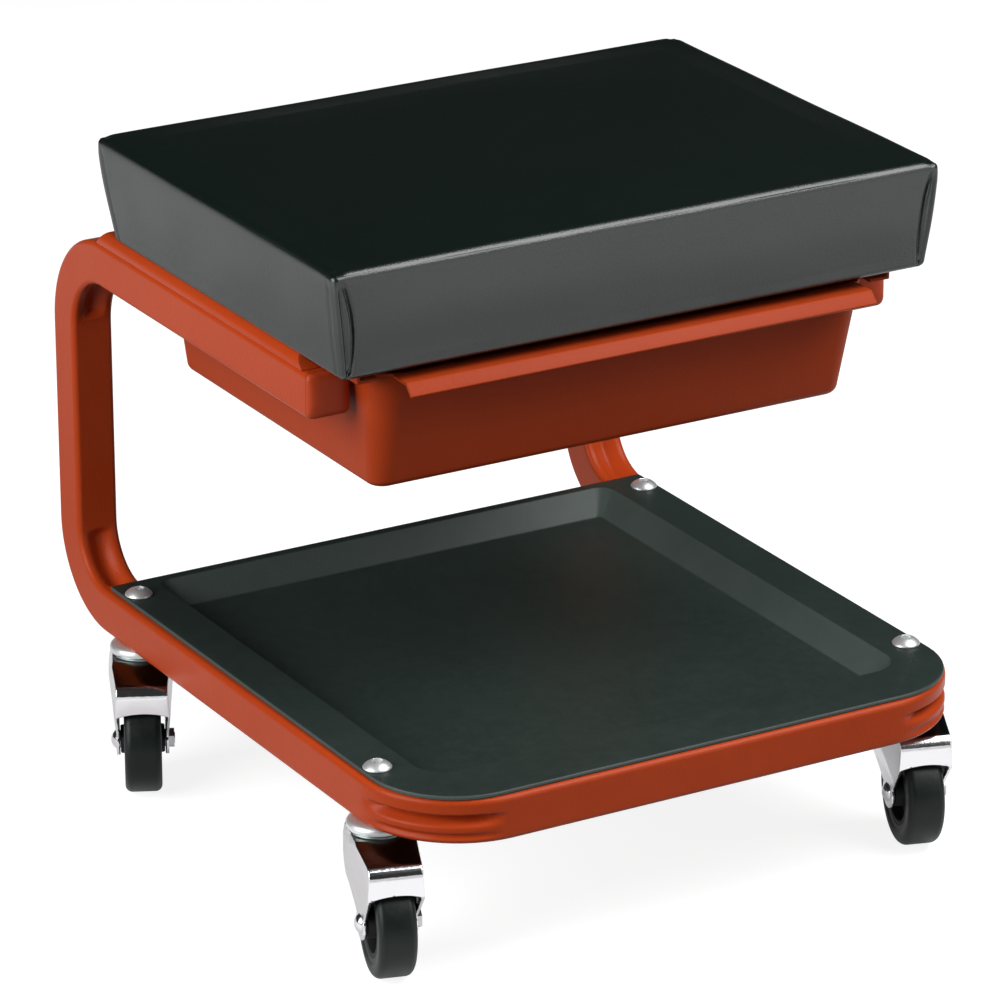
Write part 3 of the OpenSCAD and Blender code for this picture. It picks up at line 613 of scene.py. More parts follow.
def lofted(rings: Sequence[np.ndarray]) -> tuple[np.ndarray, Faces]:
    """Closes a surface through rings with equal numbers of points, with a fan at each end.

    Args:
        rings: the rings, from the underside's middle outwards and up.

    Returns:
        Points and faces.
    """
    count, low = len(rings[0]), len(rings) * len(rings[0])
    top = low - count
    faces: Faces = []
    for start in range(0, top, count):
        for j in range(count):
            a, b = start + j, start + (j + 1) % count
            faces.append((a, b, b + count, a + count))
    for j in range(count):
        k = (j + 1) % count
        faces += [(low, k, j), (low + 1, top + j, top + k)]
    return np.concatenate([*rings, [rings[0].mean(0), rings[-1].mean(0)]]), faces


def outline(half_x: float, front: float, rear: float, z: float, front_r: float, rear_r: float, steps: int,
            along: int) -> np.ndarray:
    """Level outline with round corners, anticlockwise from above, with points along its straight sides too.

    Args:
        half_x: half its width.
        front: its lowest y.
        rear: its highest y.
        z: its height.
        front_r: radius of its front corners.
        rear_r: radius of its rear corners.
        steps: steps round each corner.
        along: points along each side.

    Returns:
        The points.
    """
    corners = []
    for k in range(4):
        r, y = (rear_r, rear - rear_r) if k < 2 else (front_r, front + front_r)
        side = 1 if k in (0, 3) else -1
        angles = np.radians(90 * (k + np.arange(steps + 1) / steps))
        corners.append(np.stack([side * (half_x - r) + r * np.cos(angles), y + r * np.sin(angles)], 1))
    points = []
    for k in range(4):
        start, end = corners[k][-1], corners[(k + 1) % 4][0]
        points += [corners[k], start + (end - start) * (np.arange(1, along + 1) / (along + 1))[:, None]]
    flat = np.concatenate(points)
    return np.column_stack([flat, np.full(len(flat), z)])


def turned(profile: Sequence[tuple[float, float]], steps: int) -> tuple[np.ndarray, Faces]:
    """Turns a closed profile round the X axis.

    Args:
        profile: places along the axis and radii, anticlockwise with the axis to the right and radii up.
        steps: steps of the turn.

    Returns:
        Points and faces.
    """
    angles = np.arange(steps) * 2 * math.pi / steps
    points = np.array([(x, r * math.cos(a), r * math.sin(a)) for a in angles for x, r in profile])
    n = len(profile)
    faces: Faces = []
    for i in range(steps):
        this, after = i * n, (i + 1) % steps * n
        faces += [(this + j, this + (j + 1) % n, after + (j + 1) % n, after + j) for j in range(n)]
    return points, faces


def add_tree(piece: bpy.types.Object, tree: bpy.types.NodeTree, values: dict[str, Any]) -> None:
    """Shapes a piece by a Geometry Nodes tree, whose inputs are set by their identifiers.

    Args:
        piece: the object.
        tree: the tree.
        values: values by the inputs' names.
    """
    modifier = piece.modifiers.new(tree.name, "NODES")
    modifier.node_group = tree
    for item in tree.interface.items_tree:
        if item.item_type == "SOCKET" and item.in_out == "INPUT" and item.name in values:
            modifier[item.identifier] = values[item.name]
    evaluate(piece)


def join(kept: bpy.types.Object, added: bpy.types.Object) -> None:
    """Adds one object's mesh to another's and removes it."""
    work = bmesh.new()
    work.from_mesh(kept.data)
    work.from_mesh(added.data)
    work.to_mesh(kept.data)
    work.free()
    bpy.data.objects.remove(added)


def settle(piece: bpy.types.Object, body: str, slot: str, *nodes: str) -> None:
    """Puts a finished piece on its body, in place of its nodes.

    Args:
        piece: the object.
        body: the body that it rides on.
        slot: the record's material slot; not used.
        *nodes: the nodes that it stands for.
    """
    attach(piece, body)
    if nodes:
        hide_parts(*nodes)
    LOG.info("%s: %d faces on %s", piece.name, len(piece.data.polygons), body)


def dress_node(node: str, finish: Finish) -> None:
    """Gives a node of the frame its finish."""
    set_finish(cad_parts[node].data, finish)


# The frame


@dataclass(frozen=True)
class Station:
    """One place along the tube, with the groove that bending left there."""

    centre: Point
    toward: Point = (0.0, 0.0, 1.0)
    across: Point = (1.0, 0.0, 0.0)
    depth: float = 0.0
    rise: float = 0.0
    valley: float = 0.006
    ridge: float = 0.0

    def mirrored(self) -> Station:
        """Gives the same place on the tube's other side."""
        (x, *spot), (way, *rest) = self.centre, self.toward
        return replace(self, centre=(-x, *spot), toward=(-way, *rest))


VECTORS, NUMBERS = ("centre", "toward", "across"), ("depth", "rise", "valley", "ridge")


@dataclass(frozen=True)
class Groove:
    """How bending creases the tube: where the groove lies and how it fades at the bend's ends."""

    across: Point
    depth: float
    valley: float
    start: float
    fade: float
    turn: int
    side: int
    rise: float = 0.0
    ridge: float = 0.0


INNER_GROOVE = Groove((1.0, 0.0, 0.0), 0.0042, 0.0088, 0.07, 0.10, turn=-1, side=-1)
CORNER_GROOVE = Groove((0.0, 0.0, 1.0), 0.0062, 0.0056, 0.04, 0.22, turn=1, side=1, rise=0.0022, ridge=0.0013)


@dataclass
class TubeFrame:
    """The one bent square tube, its end caps and the strips under the seat."""

    width: float = 0.356
    length: float = 0.412
    side: float = 0.025
    edge_radius: float = 0.003
    rail_top: float = 0.314
    rail_setback: float = 0.112
    base_low: float = 0.0815
    low_radius: float = 0.0545
    high_radius: float = 0.060
    corner_radius: float = 0.060
    bend_steps: int = 44
    run_step: float = 0.03
    section_points: int = 176
    circle_share: float = 1.42
    upper_steepness: float = 0.55
    second_groove: float = -0.0078
    second_valley: float = 0.0026
    cap_height: float = 0.0054
    cap_lip: float = 0.0003
    cap_edge: float = 0.0004
    plug_depth: float = 0.014
    plug_play: float = 0.0016
    plug_chamfer: float = 0.0008
    dome_steps: int = 14
    dome_turn: float = 86.0
    dome_power: float = 0.72
    strip_x: tuple[float, float] = (0.165, 0.178)
    strip_y: tuple[float, float] = (-0.090, 0.149)
    strip_height: float = 0.008
    strip_round: float = 0.0055
    strip_edge: float = 0.0008
    body: str = "frame"

    @property
    def half(self) -> float:
        """Half the tube's side."""
        return self.side / 2

    @property
    def rail(self) -> Point:
        """Middle of the right rail's front end."""
        return self.width / 2 - self.half, self.rail_setback - self.length / 2, self.rail_top - self.half

    def _bend(self, centre: Point, plane: tuple[int, int], start: float, radius: float,
              groove: Groove) -> list[Station]:
        """Stations along a quarter bend.

        Args:
            centre: centre of the bend.
            plane: the two axes that it turns in.
            start: angle at which it starts, in degrees.
            radius: its outer radius.
            groove: the groove that it has.

        Returns:
            The stations.
        """
        made = []
        for i in range(self.bend_steps + 1):
            share = i / self.bend_steps
            angle = math.radians(start + groove.turn * 90 * share)
            away = [0.0, 0.0, 0.0]
            away[plane[0]], away[plane[1]] = math.cos(angle), math.sin(angle)
            point = [c + (radius - self.half) * a for c, a in zip(centre, away)]
            fade = clamped(min(share, 1 - share), groove.start, groove.fade)
            fade = fade * fade * (3 - 2 * fade)
            made.append(Station(tuple(point), tuple(groove.side * a for a in away), groove.across,
                                groove.depth * fade, groove.rise, groove.valley, groove.ridge * fade))
        return made

    def left_half(self) -> list[Station]:
        """Stations from the left rail's front end to the middle of the front run."""
        x, rail_y, rail_z = self.rail
        rear, high, low, corner = self.length / 2, self.high_radius, self.low_radius, self.corner_radius
        path = [Station((-x, rail_y, rail_z))]
        path += self._bend((-x, rear - high, self.rail_top - high), (1, 2), 90, high, INNER_GROOVE)
        path += self._bend((-x, rear - low, self.base_low + low), (1, 2), 0, low, INNER_GROOVE)
        path += self._bend((corner - self.width / 2, corner - rear, self.base_low + self.half), (0, 1), 180,
                           corner, CORNER_GROOVE)
        return path

    def path(self) -> list[Station]:
        """Stations of the whole tube, with points added along its straight runs."""
        left = self.left_half()
        whole: list[Station] = []
        for one in left + [s.mirrored() for s in reversed(left)]:
            if whole:
                before = Vector(whole[-1].centre)
                gap = Vector(one.centre) - before
                extra = int(gap.length // self.run_step) + 1
                whole += [Station(tuple(before + gap * (i / extra))) for i in range(1, extra)]
            whole.append(one)
        return whole

    def tree(self) -> bpy.types.NodeTree:
        """Sweeps a round-edged square along the path and presses the grooves into its bends."""
        graph = Group("bent_square_tube", GEOMETRY_TREE, {
            "Geometry": GEOMETRY, "Side": self.side, "Edge Radius": self.edge_radius,
            "Section Points": self.section_points, "Second Groove": self.second_groove, "Material": MATERIAL,
        }, ("Geometry", GEOMETRY))
        given, radius = graph.given, graph.given["Edge Radius"]
        half = graph.math("DIVIDE", given["Side"], 2.0)
        flat = graph.math("SUBTRACT", half, radius)
        reach = graph.math("MULTIPLY", half, self.circle_share)
        circle = graph.node("GeometryNodeCurvePrimitiveCircle",
                            {"Resolution": given["Section Points"], "Radius": reach})
        place = graph.node("GeometryNodeInputPosition").outputs[0]
        high = graph.node("ShaderNodeCombineXYZ", {0: flat, 1: flat, 2: 0.0}).outputs[0]
        inner = graph.vector("MAXIMUM", graph.vector("MINIMUM", place, high), graph.vector("SCALE", high, scale=-1.0))
        spoke = graph.vector("NORMALIZE", graph.vector("SUBTRACT", place, inner))
        rounded = graph.vector("ADD", inner, graph.vector("SCALE", spoke, scale=radius))
        section = graph.node("GeometryNodeSetPosition", {"Geometry": circle.outputs[0], "Position": rounded})
        curve = graph.node("GeometryNodeMeshToCurve", {0: given["Geometry"]})
        swept = graph.node("GeometryNodeCurveToMesh",
                           {0: curve.outputs[0], 1: section.outputs[0], "Fill Caps": True})
        read = {
            name: graph.node("GeometryNodeInputNamedAttribute", {"Name": name}, data_type=kind).outputs[0]
            for names, kind in ((VECTORS, "FLOAT_VECTOR"), (NUMBERS, "FLOAT")) for name in names
        }
        spot = graph.vector("SUBTRACT", graph.node("GeometryNodeInputPosition").outputs[0], read["centre"])
        out = graph.vector("DOT_PRODUCT", spot, read["toward"])
        aside = graph.vector("DOT_PRODUCT", spot, read["across"])
        above = graph.math("MULTIPLY", graph.math("GREATER_THAN", aside, read["rise"]),
                           graph.math("GREATER_THAN", read["ridge"], 0.0))
        steep = graph.math("SUBTRACT", 1.0, graph.math("MULTIPLY", above, self.upper_steepness))
        width = graph.math("MULTIPLY", read["valley"], steep)
        main = graph.math("MULTIPLY", self._valley(graph, aside, read["rise"], width), read["depth"])
        second = self._valley(graph, aside, given["Second Groove"], self.second_valley)
        second = graph.math("MULTIPLY", second, read["ridge"])
        wall = graph.math("GREATER_THAN", out, graph.math("MULTIPLY", half, 0.5))
        deep = graph.math("MULTIPLY", graph.math("ADD", main, second), wall)
        push = graph.vector("SCALE", read["toward"], scale=graph.math("MULTIPLY", deep, -1.0))
        grooved = graph.node("GeometryNodeSetPosition", {"Geometry": swept.outputs[0], "Offset": push})
        return graph.realized(graph.node("GeometryNodeSetShadeSmooth", {0: grooved.outputs[0]}).outputs[0])

    @staticmethod
    def _valley(graph: Graph, aside: Feed, middle: Feed, half_width: Feed) -> bpy.types.NodeSocket:
        """Depth share of a round valley at a distance from its middle."""
        near = graph.math("DIVIDE", graph.math("SUBTRACT", aside, middle), half_width)
        near = graph.math("MAXIMUM", graph.math("MINIMUM", near, 1.0), -1.0)
        wave = graph.math("COSINE", graph.math("MULTIPLY", near, math.pi))
        return graph.math("MULTIPLY", graph.math("ADD", wave, 1.0), 0.5)

    def build(self) -> None:
        """Builds the tube, its caps and the strips."""
        stations = self.path()
        mesh = bpy.data.meshes.new("swept_tube")
        mesh.from_pydata([s.centre for s in stations], [(i, i + 1) for i in range(len(stations) - 1)], [])
        for names, kind, key in ((VECTORS, "FLOAT_VECTOR", "vector"), (NUMBERS, "FLOAT", "value")):
            for name in names:
                values = np.array([getattr(s, name) for s in stations], np.float32)
                mesh.attributes.new(name, kind, "POINT").data.foreach_set(key, values.ravel())
        tube = add_object("swept_tube", mesh)
        add_tree(tube, self.tree(), {"Material": PAINT.material()})
        for name in VECTORS + NUMBERS:
            if name in tube.data.attributes:
                tube.data.attributes.remove(tube.data.attributes[name])
        sharpen(tube, 50)
        settle(tube, self.body, "paint", "frame_tube")
        settle(self._caps(), self.body, "paint_caps", "rail_end_caps")
        for side, label in ((-1, "left"), (1, "right")):
            settle(self._strip(side, label), self.body, "paint", f"seat_spacer_{label}")

    def _caps(self) -> bpy.types.Object:
        """The two domed end caps with their plugs, as one piece."""
        half, lip = self.half, self.cap_lip
        plug = half - self.plug_play
        levels = [(-self.plug_depth, plug - self.plug_chamfer), (self.plug_chamfer - self.plug_depth, plug),
                  (-0.0001, plug), (0.0, half - self.cap_edge), (lip, half)]
        for a in arc(self.dome_steps, math.radians(self.dome_turn), 1):
            out = lip + (self.cap_height - lip) * math.sin(a) ** self.dome_power
            levels.append((out, half * math.cos(a) ** self.dome_power))
        x, front, z = self.rail
        points: list[np.ndarray] = []
        faces: Faces = []
        for side in (-1, 1):
            rings = []
            for out, size in levels:
                r = min(self.edge_radius + 0.5 * max(out, 0.0), size * 0.9)
                ring = outline(size, -size, size, 0.0, r, r, 8, 6)
                rings.append(np.column_stack([side * x + ring[:, 0], np.full(len(ring), front - out), z + ring[:, 1]]))
            own_points, own_faces = lofted(rings)
            base = sum(len(q) for q in points)
            points.append(own_points)
            faces += [tuple(i + base for i in face) for face in own_faces]
        return link_mesh("rail_cap_pair", (np.concatenate(points), faces), CAP_PLASTIC, 40)

    def _strip(self, side: int, label: str) -> bpy.types.Object:
        """A strip with a round outer edge and sloping ends.

        Args:
            side: -1 for the left one, 1 for the right one.
            label: the word for its name.

        Returns:
            The strip.
        """
        inner, outer = self.strip_x
        low, high, r = self.rail_top, self.rail_top + self.strip_height, self.strip_round
        section = [(inner, low), (outer, low), (outer, high - r)]
        section += [(outer - r + r * math.cos(a), high - r + r * math.sin(a)) for a in arc(8, first=1)]
        section.append((inner, high))
        rings = [
            np.array([(side * x, place + way * (z - low), z) for x, z in section])
            for place, way in zip(self.strip_y, (1, -1))
        ]
        strip = link_mesh(f"seat_strip_{label}", lofted(rings), PAINT)
        bevelled(strip, self.strip_edge, 25)
        strip.data.shade_smooth()
        sharpen(strip, 35)
        return strip


# The seat


CLOTH = {
    "quality": 6, "mass": 0.35, "tension_stiffness": 12, "compression_stiffness": 12, "shear_stiffness": 8,
    "bending_stiffness": 1.5, "use_pressure": True, "uniform_pressure_force": 4, "vertex_group_mass": "held",
}


def near(values: np.ndarray, middle: Any, width: float) -> np.ndarray:
    """Bell of height 1 round a middle."""
    return np.exp(-((values - middle) / width) ** 2)


@dataclass
class Cushion:
    """The padded seat: vinyl over foam on a board, with folded corners and a stapled hem."""

    half_width: float = 0.1834
    front: float = -0.1365
    rear: float = 0.1304
    low: float = 0.3223
    edge: float = 0.3803
    crown: float = 0.0030
    side_draw: float = 0.0067
    front_draw: float = 0.0032
    rear_draw: float = 0.0081
    edge_radius: float = 0.0052
    corner_radius: float = 0.0040
    foot_radius: float = 0.0030
    side_swell: float = 0.0008
    level_grid: tuple[float, float, float] = (0.012, 0.026, 0.0104)
    height_grid: tuple[float, float, float] = (0.004, 0.009, 0.0040)
    close_step: float = 0.001
    near_step: float = 0.0024
    vinyl: float = 0.0012
    hem: float = 0.030
    hem_level: float = 0.001
    board_top: float = 0.3358
    board_gap: float = 0.0002
    foam_inset: float = 0.0042
    swell_room: float = -0.0016
    swell_cap: float = 0.0022
    swell_rounds: int = 6
    seam_hold: float = 0.012
    seam_grip: float = 1.25
    frames: int = 20
    fold_place: float = 0.0022
    fold_bow: float = 0.0052
    fold_depth: float = 0.0025
    fold_width: float = 0.0010
    inner_fold_place: float = 0.0018
    inner_fold_depth: float = 0.0017
    flap_rise: float = 0.0004
    flap_slope: float = 0.002
    crease_place: float = 0.0050
    crease_width: float = 0.0013
    crease_depth: float = 0.0006
    tip_place: float = 0.003
    tip_reach: float = 0.07
    tip_depth: float = 0.0012
    drift: float = 0.0007
    pull: float = 0.0002
    pull_pitch: float = 0.048
    top_drift: float = 0.0005
    slack: float = 0.0010
    slack_x: float = 0.130
    slack_reach: float = 0.055
    soft_side: float = 0.016
    soft_top: float = 0.018
    soft_rounds: int = 14
    soft_share: float = 0.6
    body: str = "frame"

    def _stops(self, low: float, high: float, roll: float, near_end: float, far: float) -> np.ndarray:
        """Places of grid lines, close together near both ends.

        Args:
            low: first place.
            high: last place.
            roll: length of the closest steps at each end.
            near_end: length up to which the next steps run.
            far: step of the rest.

        Returns:
            The places.
        """
        end = list(np.linspace(0, roll, max(6, round(roll / self.close_step)))[:-1])
        end += list(np.arange(roll, near_end, self.near_step))
        rest = high - low - 2 * near_end
        middle = np.linspace(near_end, high - low - near_end, max(2, int(rest / far)))
        both = np.concatenate([end, middle, (high - low) - np.array(end[::-1])])
        return low + np.unique(np.round(both, 7))

    def form(self, inset: float, low: float) -> bpy.types.Object:
        """Closed padded form: a box with round edges, drawn in towards its underside, with a crowned top.

        Args:
            inset: how far it lies inside the finished surface.
            low: its lowest level.

        Returns:
            The object.
        """
        half_y, middle_y = (self.rear - self.front) / 2 - inset, (self.front + self.rear) / 2
        half_x, high = self.half_width - inset, self.edge - inset
        xs = self._stops(-half_x, half_x, *self.level_grid)
        ys = self._stops(-half_y, half_y, *self.level_grid)
        zs = self._stops(low, high, *self.height_grid)
        work = bmesh.new()
        made: dict[tuple[int, int, int], bmesh.types.BMVert] = {}

        def face(*corners: tuple[int, int, int]) -> None:
            """Adds a face between the grid's vertices, each made once."""
            for corner in corners:
                if corner not in made:
                    made[corner] = work.verts.new([places[i] for places, i in zip((xs, ys, zs), corner)])
            work.faces.new([made[corner] for corner in corners])

        nx, ny, nz = len(xs) - 1, len(ys) - 1, len(zs) - 1
        for i in range(nx):
            for j in range(ny):
                face((i, j, 0), (i, j + 1, 0), (i + 1, j + 1, 0), (i + 1, j, 0))
                face((i, j, nz), (i + 1, j, nz), (i + 1, j + 1, nz), (i, j + 1, nz))
            for k in range(nz):
                face((i, 0, k), (i + 1, 0, k), (i + 1, 0, k + 1), (i, 0, k + 1))
                face((i, ny, k), (i, ny, k + 1), (i + 1, ny, k + 1), (i + 1, ny, k))
        for j in range(ny):
            for k in range(nz):
                face((0, j, k), (0, j, k + 1), (0, j + 1, k + 1), (0, j + 1, k))
                face((nx, j, k), (nx, j + 1, k), (nx, j + 1, k + 1), (nx, j, k + 1))
        for v in work.verts:
            v.co = self._shaped(v.co, half_x, half_y, middle_y, low, high)
        mesh = bpy.data.meshes.new("padded_form")
        work.to_mesh(mesh)
        work.free()
        return add_object("padded_form", mesh)

    def _shaped(self, spot: Vector, half_x: float, half_y: float, middle_y: float, low: float, high: float) -> Vector:
        """Moves a point of the plain box onto the padded form.

        Args:
            spot: the point.
            half_x: half the form's width.
            half_y: half its depth.
            middle_y: the middle of its depth.
            low: its lowest level.
            high: level of its upper edge.

        Returns:
            The moved point.
        """
        x, y, z = spot
        r = self.corner_radius
        ix, iy = min(max(x, r - half_x), half_x - r), min(max(y, r - half_y), half_y - r)
        reach = math.hypot(x - ix, y - iy)
        if reach > TINY:
            square = max(abs(x - ix), abs(y - iy))
            x, y = ix + (x - ix) / reach * square, iy + (y - iy) / reach * square
        rim = min(half_x - abs(x), half_y - abs(y)) if reach <= TINY else r - math.hypot(x - ix, y - iy)
        for level, radius, sign in ((high, self.edge_radius, 1), (low, self.foot_radius, -1)):
            up, out = sign * (z - level) + radius, radius - rim
            if up > 0 and out > 0:
                length, box = math.hypot(up, out), max(up, out)
                z = level + sign * (up / length * box - radius)
                pull = Vector((x - ix, y - iy)) if reach > TINY else self._edge_way(x, y, half_x, half_y)
                if pull.length > TINY:
                    pull.normalize()
                    shift = out - out / length * box
                    x, y = x - pull.x * shift, y - pull.y * shift
        down = (high - z) / (high - low)
        x *= (half_x - self.side_draw * down) / half_x
        y += (self.front_draw if y < 0 else -self.rear_draw) * down * min(1.0, abs(y) / half_y) ** 2
        swell = self.side_swell * math.sin(math.pi * clamped(down))
        x += math.copysign(swell, x) * min(1.0, abs(x) / half_x) ** 6
        y += math.copysign(swell, y) * min(1.0, abs(y) / half_y) ** 6
        top = clamped(z - high + self.edge_radius, 0.0, self.edge_radius)
        u, v = min(1.0, abs(x) / half_x), min(1.0, abs(y) / half_y)
        return Vector((x, middle_y + y, z + self.crown * top * (1 - u ** 3) * (1 - v ** 3)))

    @staticmethod
    def _edge_way(x: float, y: float, half_x: float, half_y: float) -> Vector:
        """Direction from the middle to the nearest side."""
        if half_x - abs(x) < half_y - abs(y):
            return Vector((math.copysign(1.0, x), 0.0))
        return Vector((0.0, math.copysign(1.0, y)))

    def _hold(self, spot: Vector) -> float:
        """How firmly a point is held while the form swells: fully under the seat and along its seams.

        Args:
            spot: the point.

        Returns:
            The weight, from 0 to 1.
        """
        if spot.z < self.low + self.foot_radius:
            return 1.0
        down = (self.edge - spot.z) / (self.edge - self.low)
        reach_x = self.half_width - self.side_draw * down - abs(spot.x)
        front, rear = self.front + self.front_draw * down, self.rear - self.rear_draw * down
        reach_y = min(spot.y - front, rear - spot.y)
        nearest = sorted((reach_x, reach_y, self.edge - spot.z, spot.z - self.low))
        return clamped(self.seam_grip - nearest[1] / self.seam_hold)

    def inflate(self, form: bpy.types.Object) -> None:
        """Swells the form with a short cloth simulation, its seams held, and caps how far it moves.

        Args:
            form: the closed form.
        """
        start = points_of(form)
        held = form.vertex_groups.new(name="held")
        for v in form.data.vertices:
            weight = self._hold(v.co)
            if weight > 0:
                held.add([v.index], weight, "REPLACE")
        cloth = form.modifiers.new("cloth", "CLOTH")
        for key, value in CLOTH.items():
            setattr(cloth.settings, key, value)
        cloth.settings.effector_weights.gravity = 0
        cloth.collision_settings.use_collision = False
        cloth.collision_settings.use_self_collision = False
        cloth.point_cache.frame_start, cloth.point_cache.frame_end = 1, self.frames
        scene = bpy.context.scene
        for number in range(1, self.frames + 1):
            scene.frame_set(number)
        drift = points_of(form.evaluated_get(bpy.context.evaluated_depsgraph_get())) - start
        form.modifiers.clear()
        scene.frame_set(1)
        length = np.linalg.norm(drift, axis=1)
        LOG.info("cushion swelled by %.1f mm at most, %.1f mm on average", length.max() * 1e3, length.mean() * 1e3)
        share = self.swell_cap * np.tanh(length / self.swell_cap) / np.maximum(length, TINY)
        move_points(form, start + eased(form, drift * share[:, None], self.swell_rounds, 0.5))

    def shape_seams(self, form: bpy.types.Object) -> None:
        """Presses the folds of the four corners, the softer side edges and the hem's pull into the form.

        Args:
            form: the object.
        """
        points = points_of(form)
        normals = np.array([v.normal for v in form.data.vertices])
        push = np.zeros(len(points))
        t = np.clip((self.edge - points[:, 2]) / (self.edge - self.low), 0, 1)
        ends = np.clip((t - 0.04) / 0.12, 0, 1) * np.clip((1 - t) / 0.05, 0, 1)
        leaf = self.fold_place + self.fold_bow * np.sin(np.pi * t) ** 0.8 * (1 - 0.25 * t)
        edge_x = self.half_width - self.side_draw * t
        edge_front, edge_rear = -self.front - self.front_draw * t, self.rear - self.rear_draw * t
        for x_sign in (-1, 1):
            for y_sign, edge_y in ((-1, edge_front), (1, edge_rear)):
                along_x, along_y = edge_x - x_sign * points[:, 0], edge_y - y_sign * points[:, 1]
                on_front = (y_sign * normals[:, 1] > 0.55) & (along_x < 0.03) & (along_y < 0.012)
                on_side = (x_sign * normals[:, 0] > 0.55) & (along_y < 0.03) & (along_x < 0.012)
                fold = self.fold_depth * near(along_x, leaf, self.fold_width)
                fold += self.inner_fold_depth * near(along_x, self.inner_fold_place, self.fold_width)
                flap = (along_x < leaf) * np.clip((leaf - along_x) / self.flap_slope, 0, 1)
                push += on_front * ends * (self.flap_rise * flap - fold)
                push -= on_side * ends * self.crease_depth * near(along_y, self.crease_place, self.crease_width)
                tip = near(along_x, self.tip_place, self.tip_place) * near(along_y, self.tip_place, self.tip_place)
                push -= self.tip_depth * tip * near(t, 0, self.tip_reach)
        side_face = np.abs(normals[:, 2]) < 0.6
        for i, p in enumerate(points):
            if side_face[i]:
                slow = noise.noise(Vector((p[0] * 22, p[1] * 22, p[2] * 26)))
                pull = math.cos(2 * math.pi * (p[0] + p[1]) / self.pull_pitch) * t[i] ** 4
                push[i] += self.drift * slow * math.sin(math.pi * t[i])
                push[i] -= self.pull * (1 + pull) * t[i] ** 3 * (1 - t[i]) * 4
                if normals[i, 1] < -0.7:
                    slack = math.exp(-((p[0] + self.slack_x) / self.slack_reach) ** 2)
                    push[i] += self.slack * slack * math.sin(math.pi * t[i] ** 1.6)
            elif normals[i, 2] > 0.6:
                push[i] += self.top_drift * noise.noise(Vector((p[0] * 12, p[1] * 12, 3.7)))
        move_points(form, points + normals * push[:, None])

    def soften(self, form: bpy.types.Object) -> None:
        """Rounds the left and right upper edges, which are softer than the front one.

        Args:
            form: the object.
        """
        points = points_of(form)
        near_side = np.clip(1 - (self.half_width - np.abs(points[:, 0])) / self.soft_side, 0, 1)
        near_top = np.clip(1 - np.abs(self.edge - points[:, 2]) / self.soft_top, 0, 1)
        inner = np.clip((points[:, 1] - self.front - 0.004) / 0.03, 0, 1)
        inner *= np.clip((self.rear - points[:, 1]) / 0.02, 0, 1)
        weight = (np.minimum(near_side, near_top) ** 0.5 * inner)[:, None]
        move_points(form, eased(form, points, self.soft_rounds, weight * self.soft_share))

    def build(self) -> None:
        """Builds the cover and the foam, and dresses the board and its screws."""
        cover = self.form(self.swell_room, self.low)
        self.inflate(cover)
        self.soften(cover)
        modified(cover, "SUBSURF", levels=1, render_levels=1)
        self.shape_seams(cover)
        self._open_underside(cover)
        modified(cover, "SOLIDIFY", thickness=self.vinyl, offset=-1)
        foam = self.form(self.foam_inset, self.board_top + self.board_gap)
        for piece, name, finish in ((cover, "cushion_cover", VINYL), (foam, "foam_block", FOAM)):
            piece.name = piece.data.name = name
            set_finish(piece.data, finish)
            piece.data.shade_smooth()
        settle(cover, self.body, "vinyl", "seat_cover")
        settle(foam, self.body, "foam", "seat_foam")
        dress_node("seat_board", PLYWOOD)
        dress_node("seat_screws", ZINC)

    def _open_underside(self, cover: bpy.types.Object) -> None:
        """Cuts the hem's window out of the underside.

        Args:
            cover: the closed form.
        """
        inner_x = self.half_width - self.side_draw - self.hem
        front, rear = self.front + self.front_draw + self.hem, self.rear - self.rear_draw - self.hem
        floor = self.low + self.hem_level
        work = bmesh.new()
        work.from_mesh(cover.data)
        for axis, place in ((0, -inner_x), (0, inner_x), (1, front), (1, rear)):
            normal, spot = Vector((0, 0, 0)), Vector((0, 0, 0))
            normal[axis], spot[axis] = 1.0, place
            under = [f for f in work.faces if f.calc_center_median().z < floor]
            parts = under + list({e for f in under for e in f.edges}) + list({v for f in under for v in f.verts})
            bmesh.ops.bisect_plane(work, geom=parts, plane_co=spot, plane_no=normal)
        middles = [(f, f.calc_center_median()) for f in work.faces]
        gone = [f for f, m in middles if m.z < floor and abs(m.x) < inner_x and front < m.y < rear]
        bmesh.ops.delete(work, geom=gone, context="FACES")
        work.to_mesh(cover.data)
        work.free()


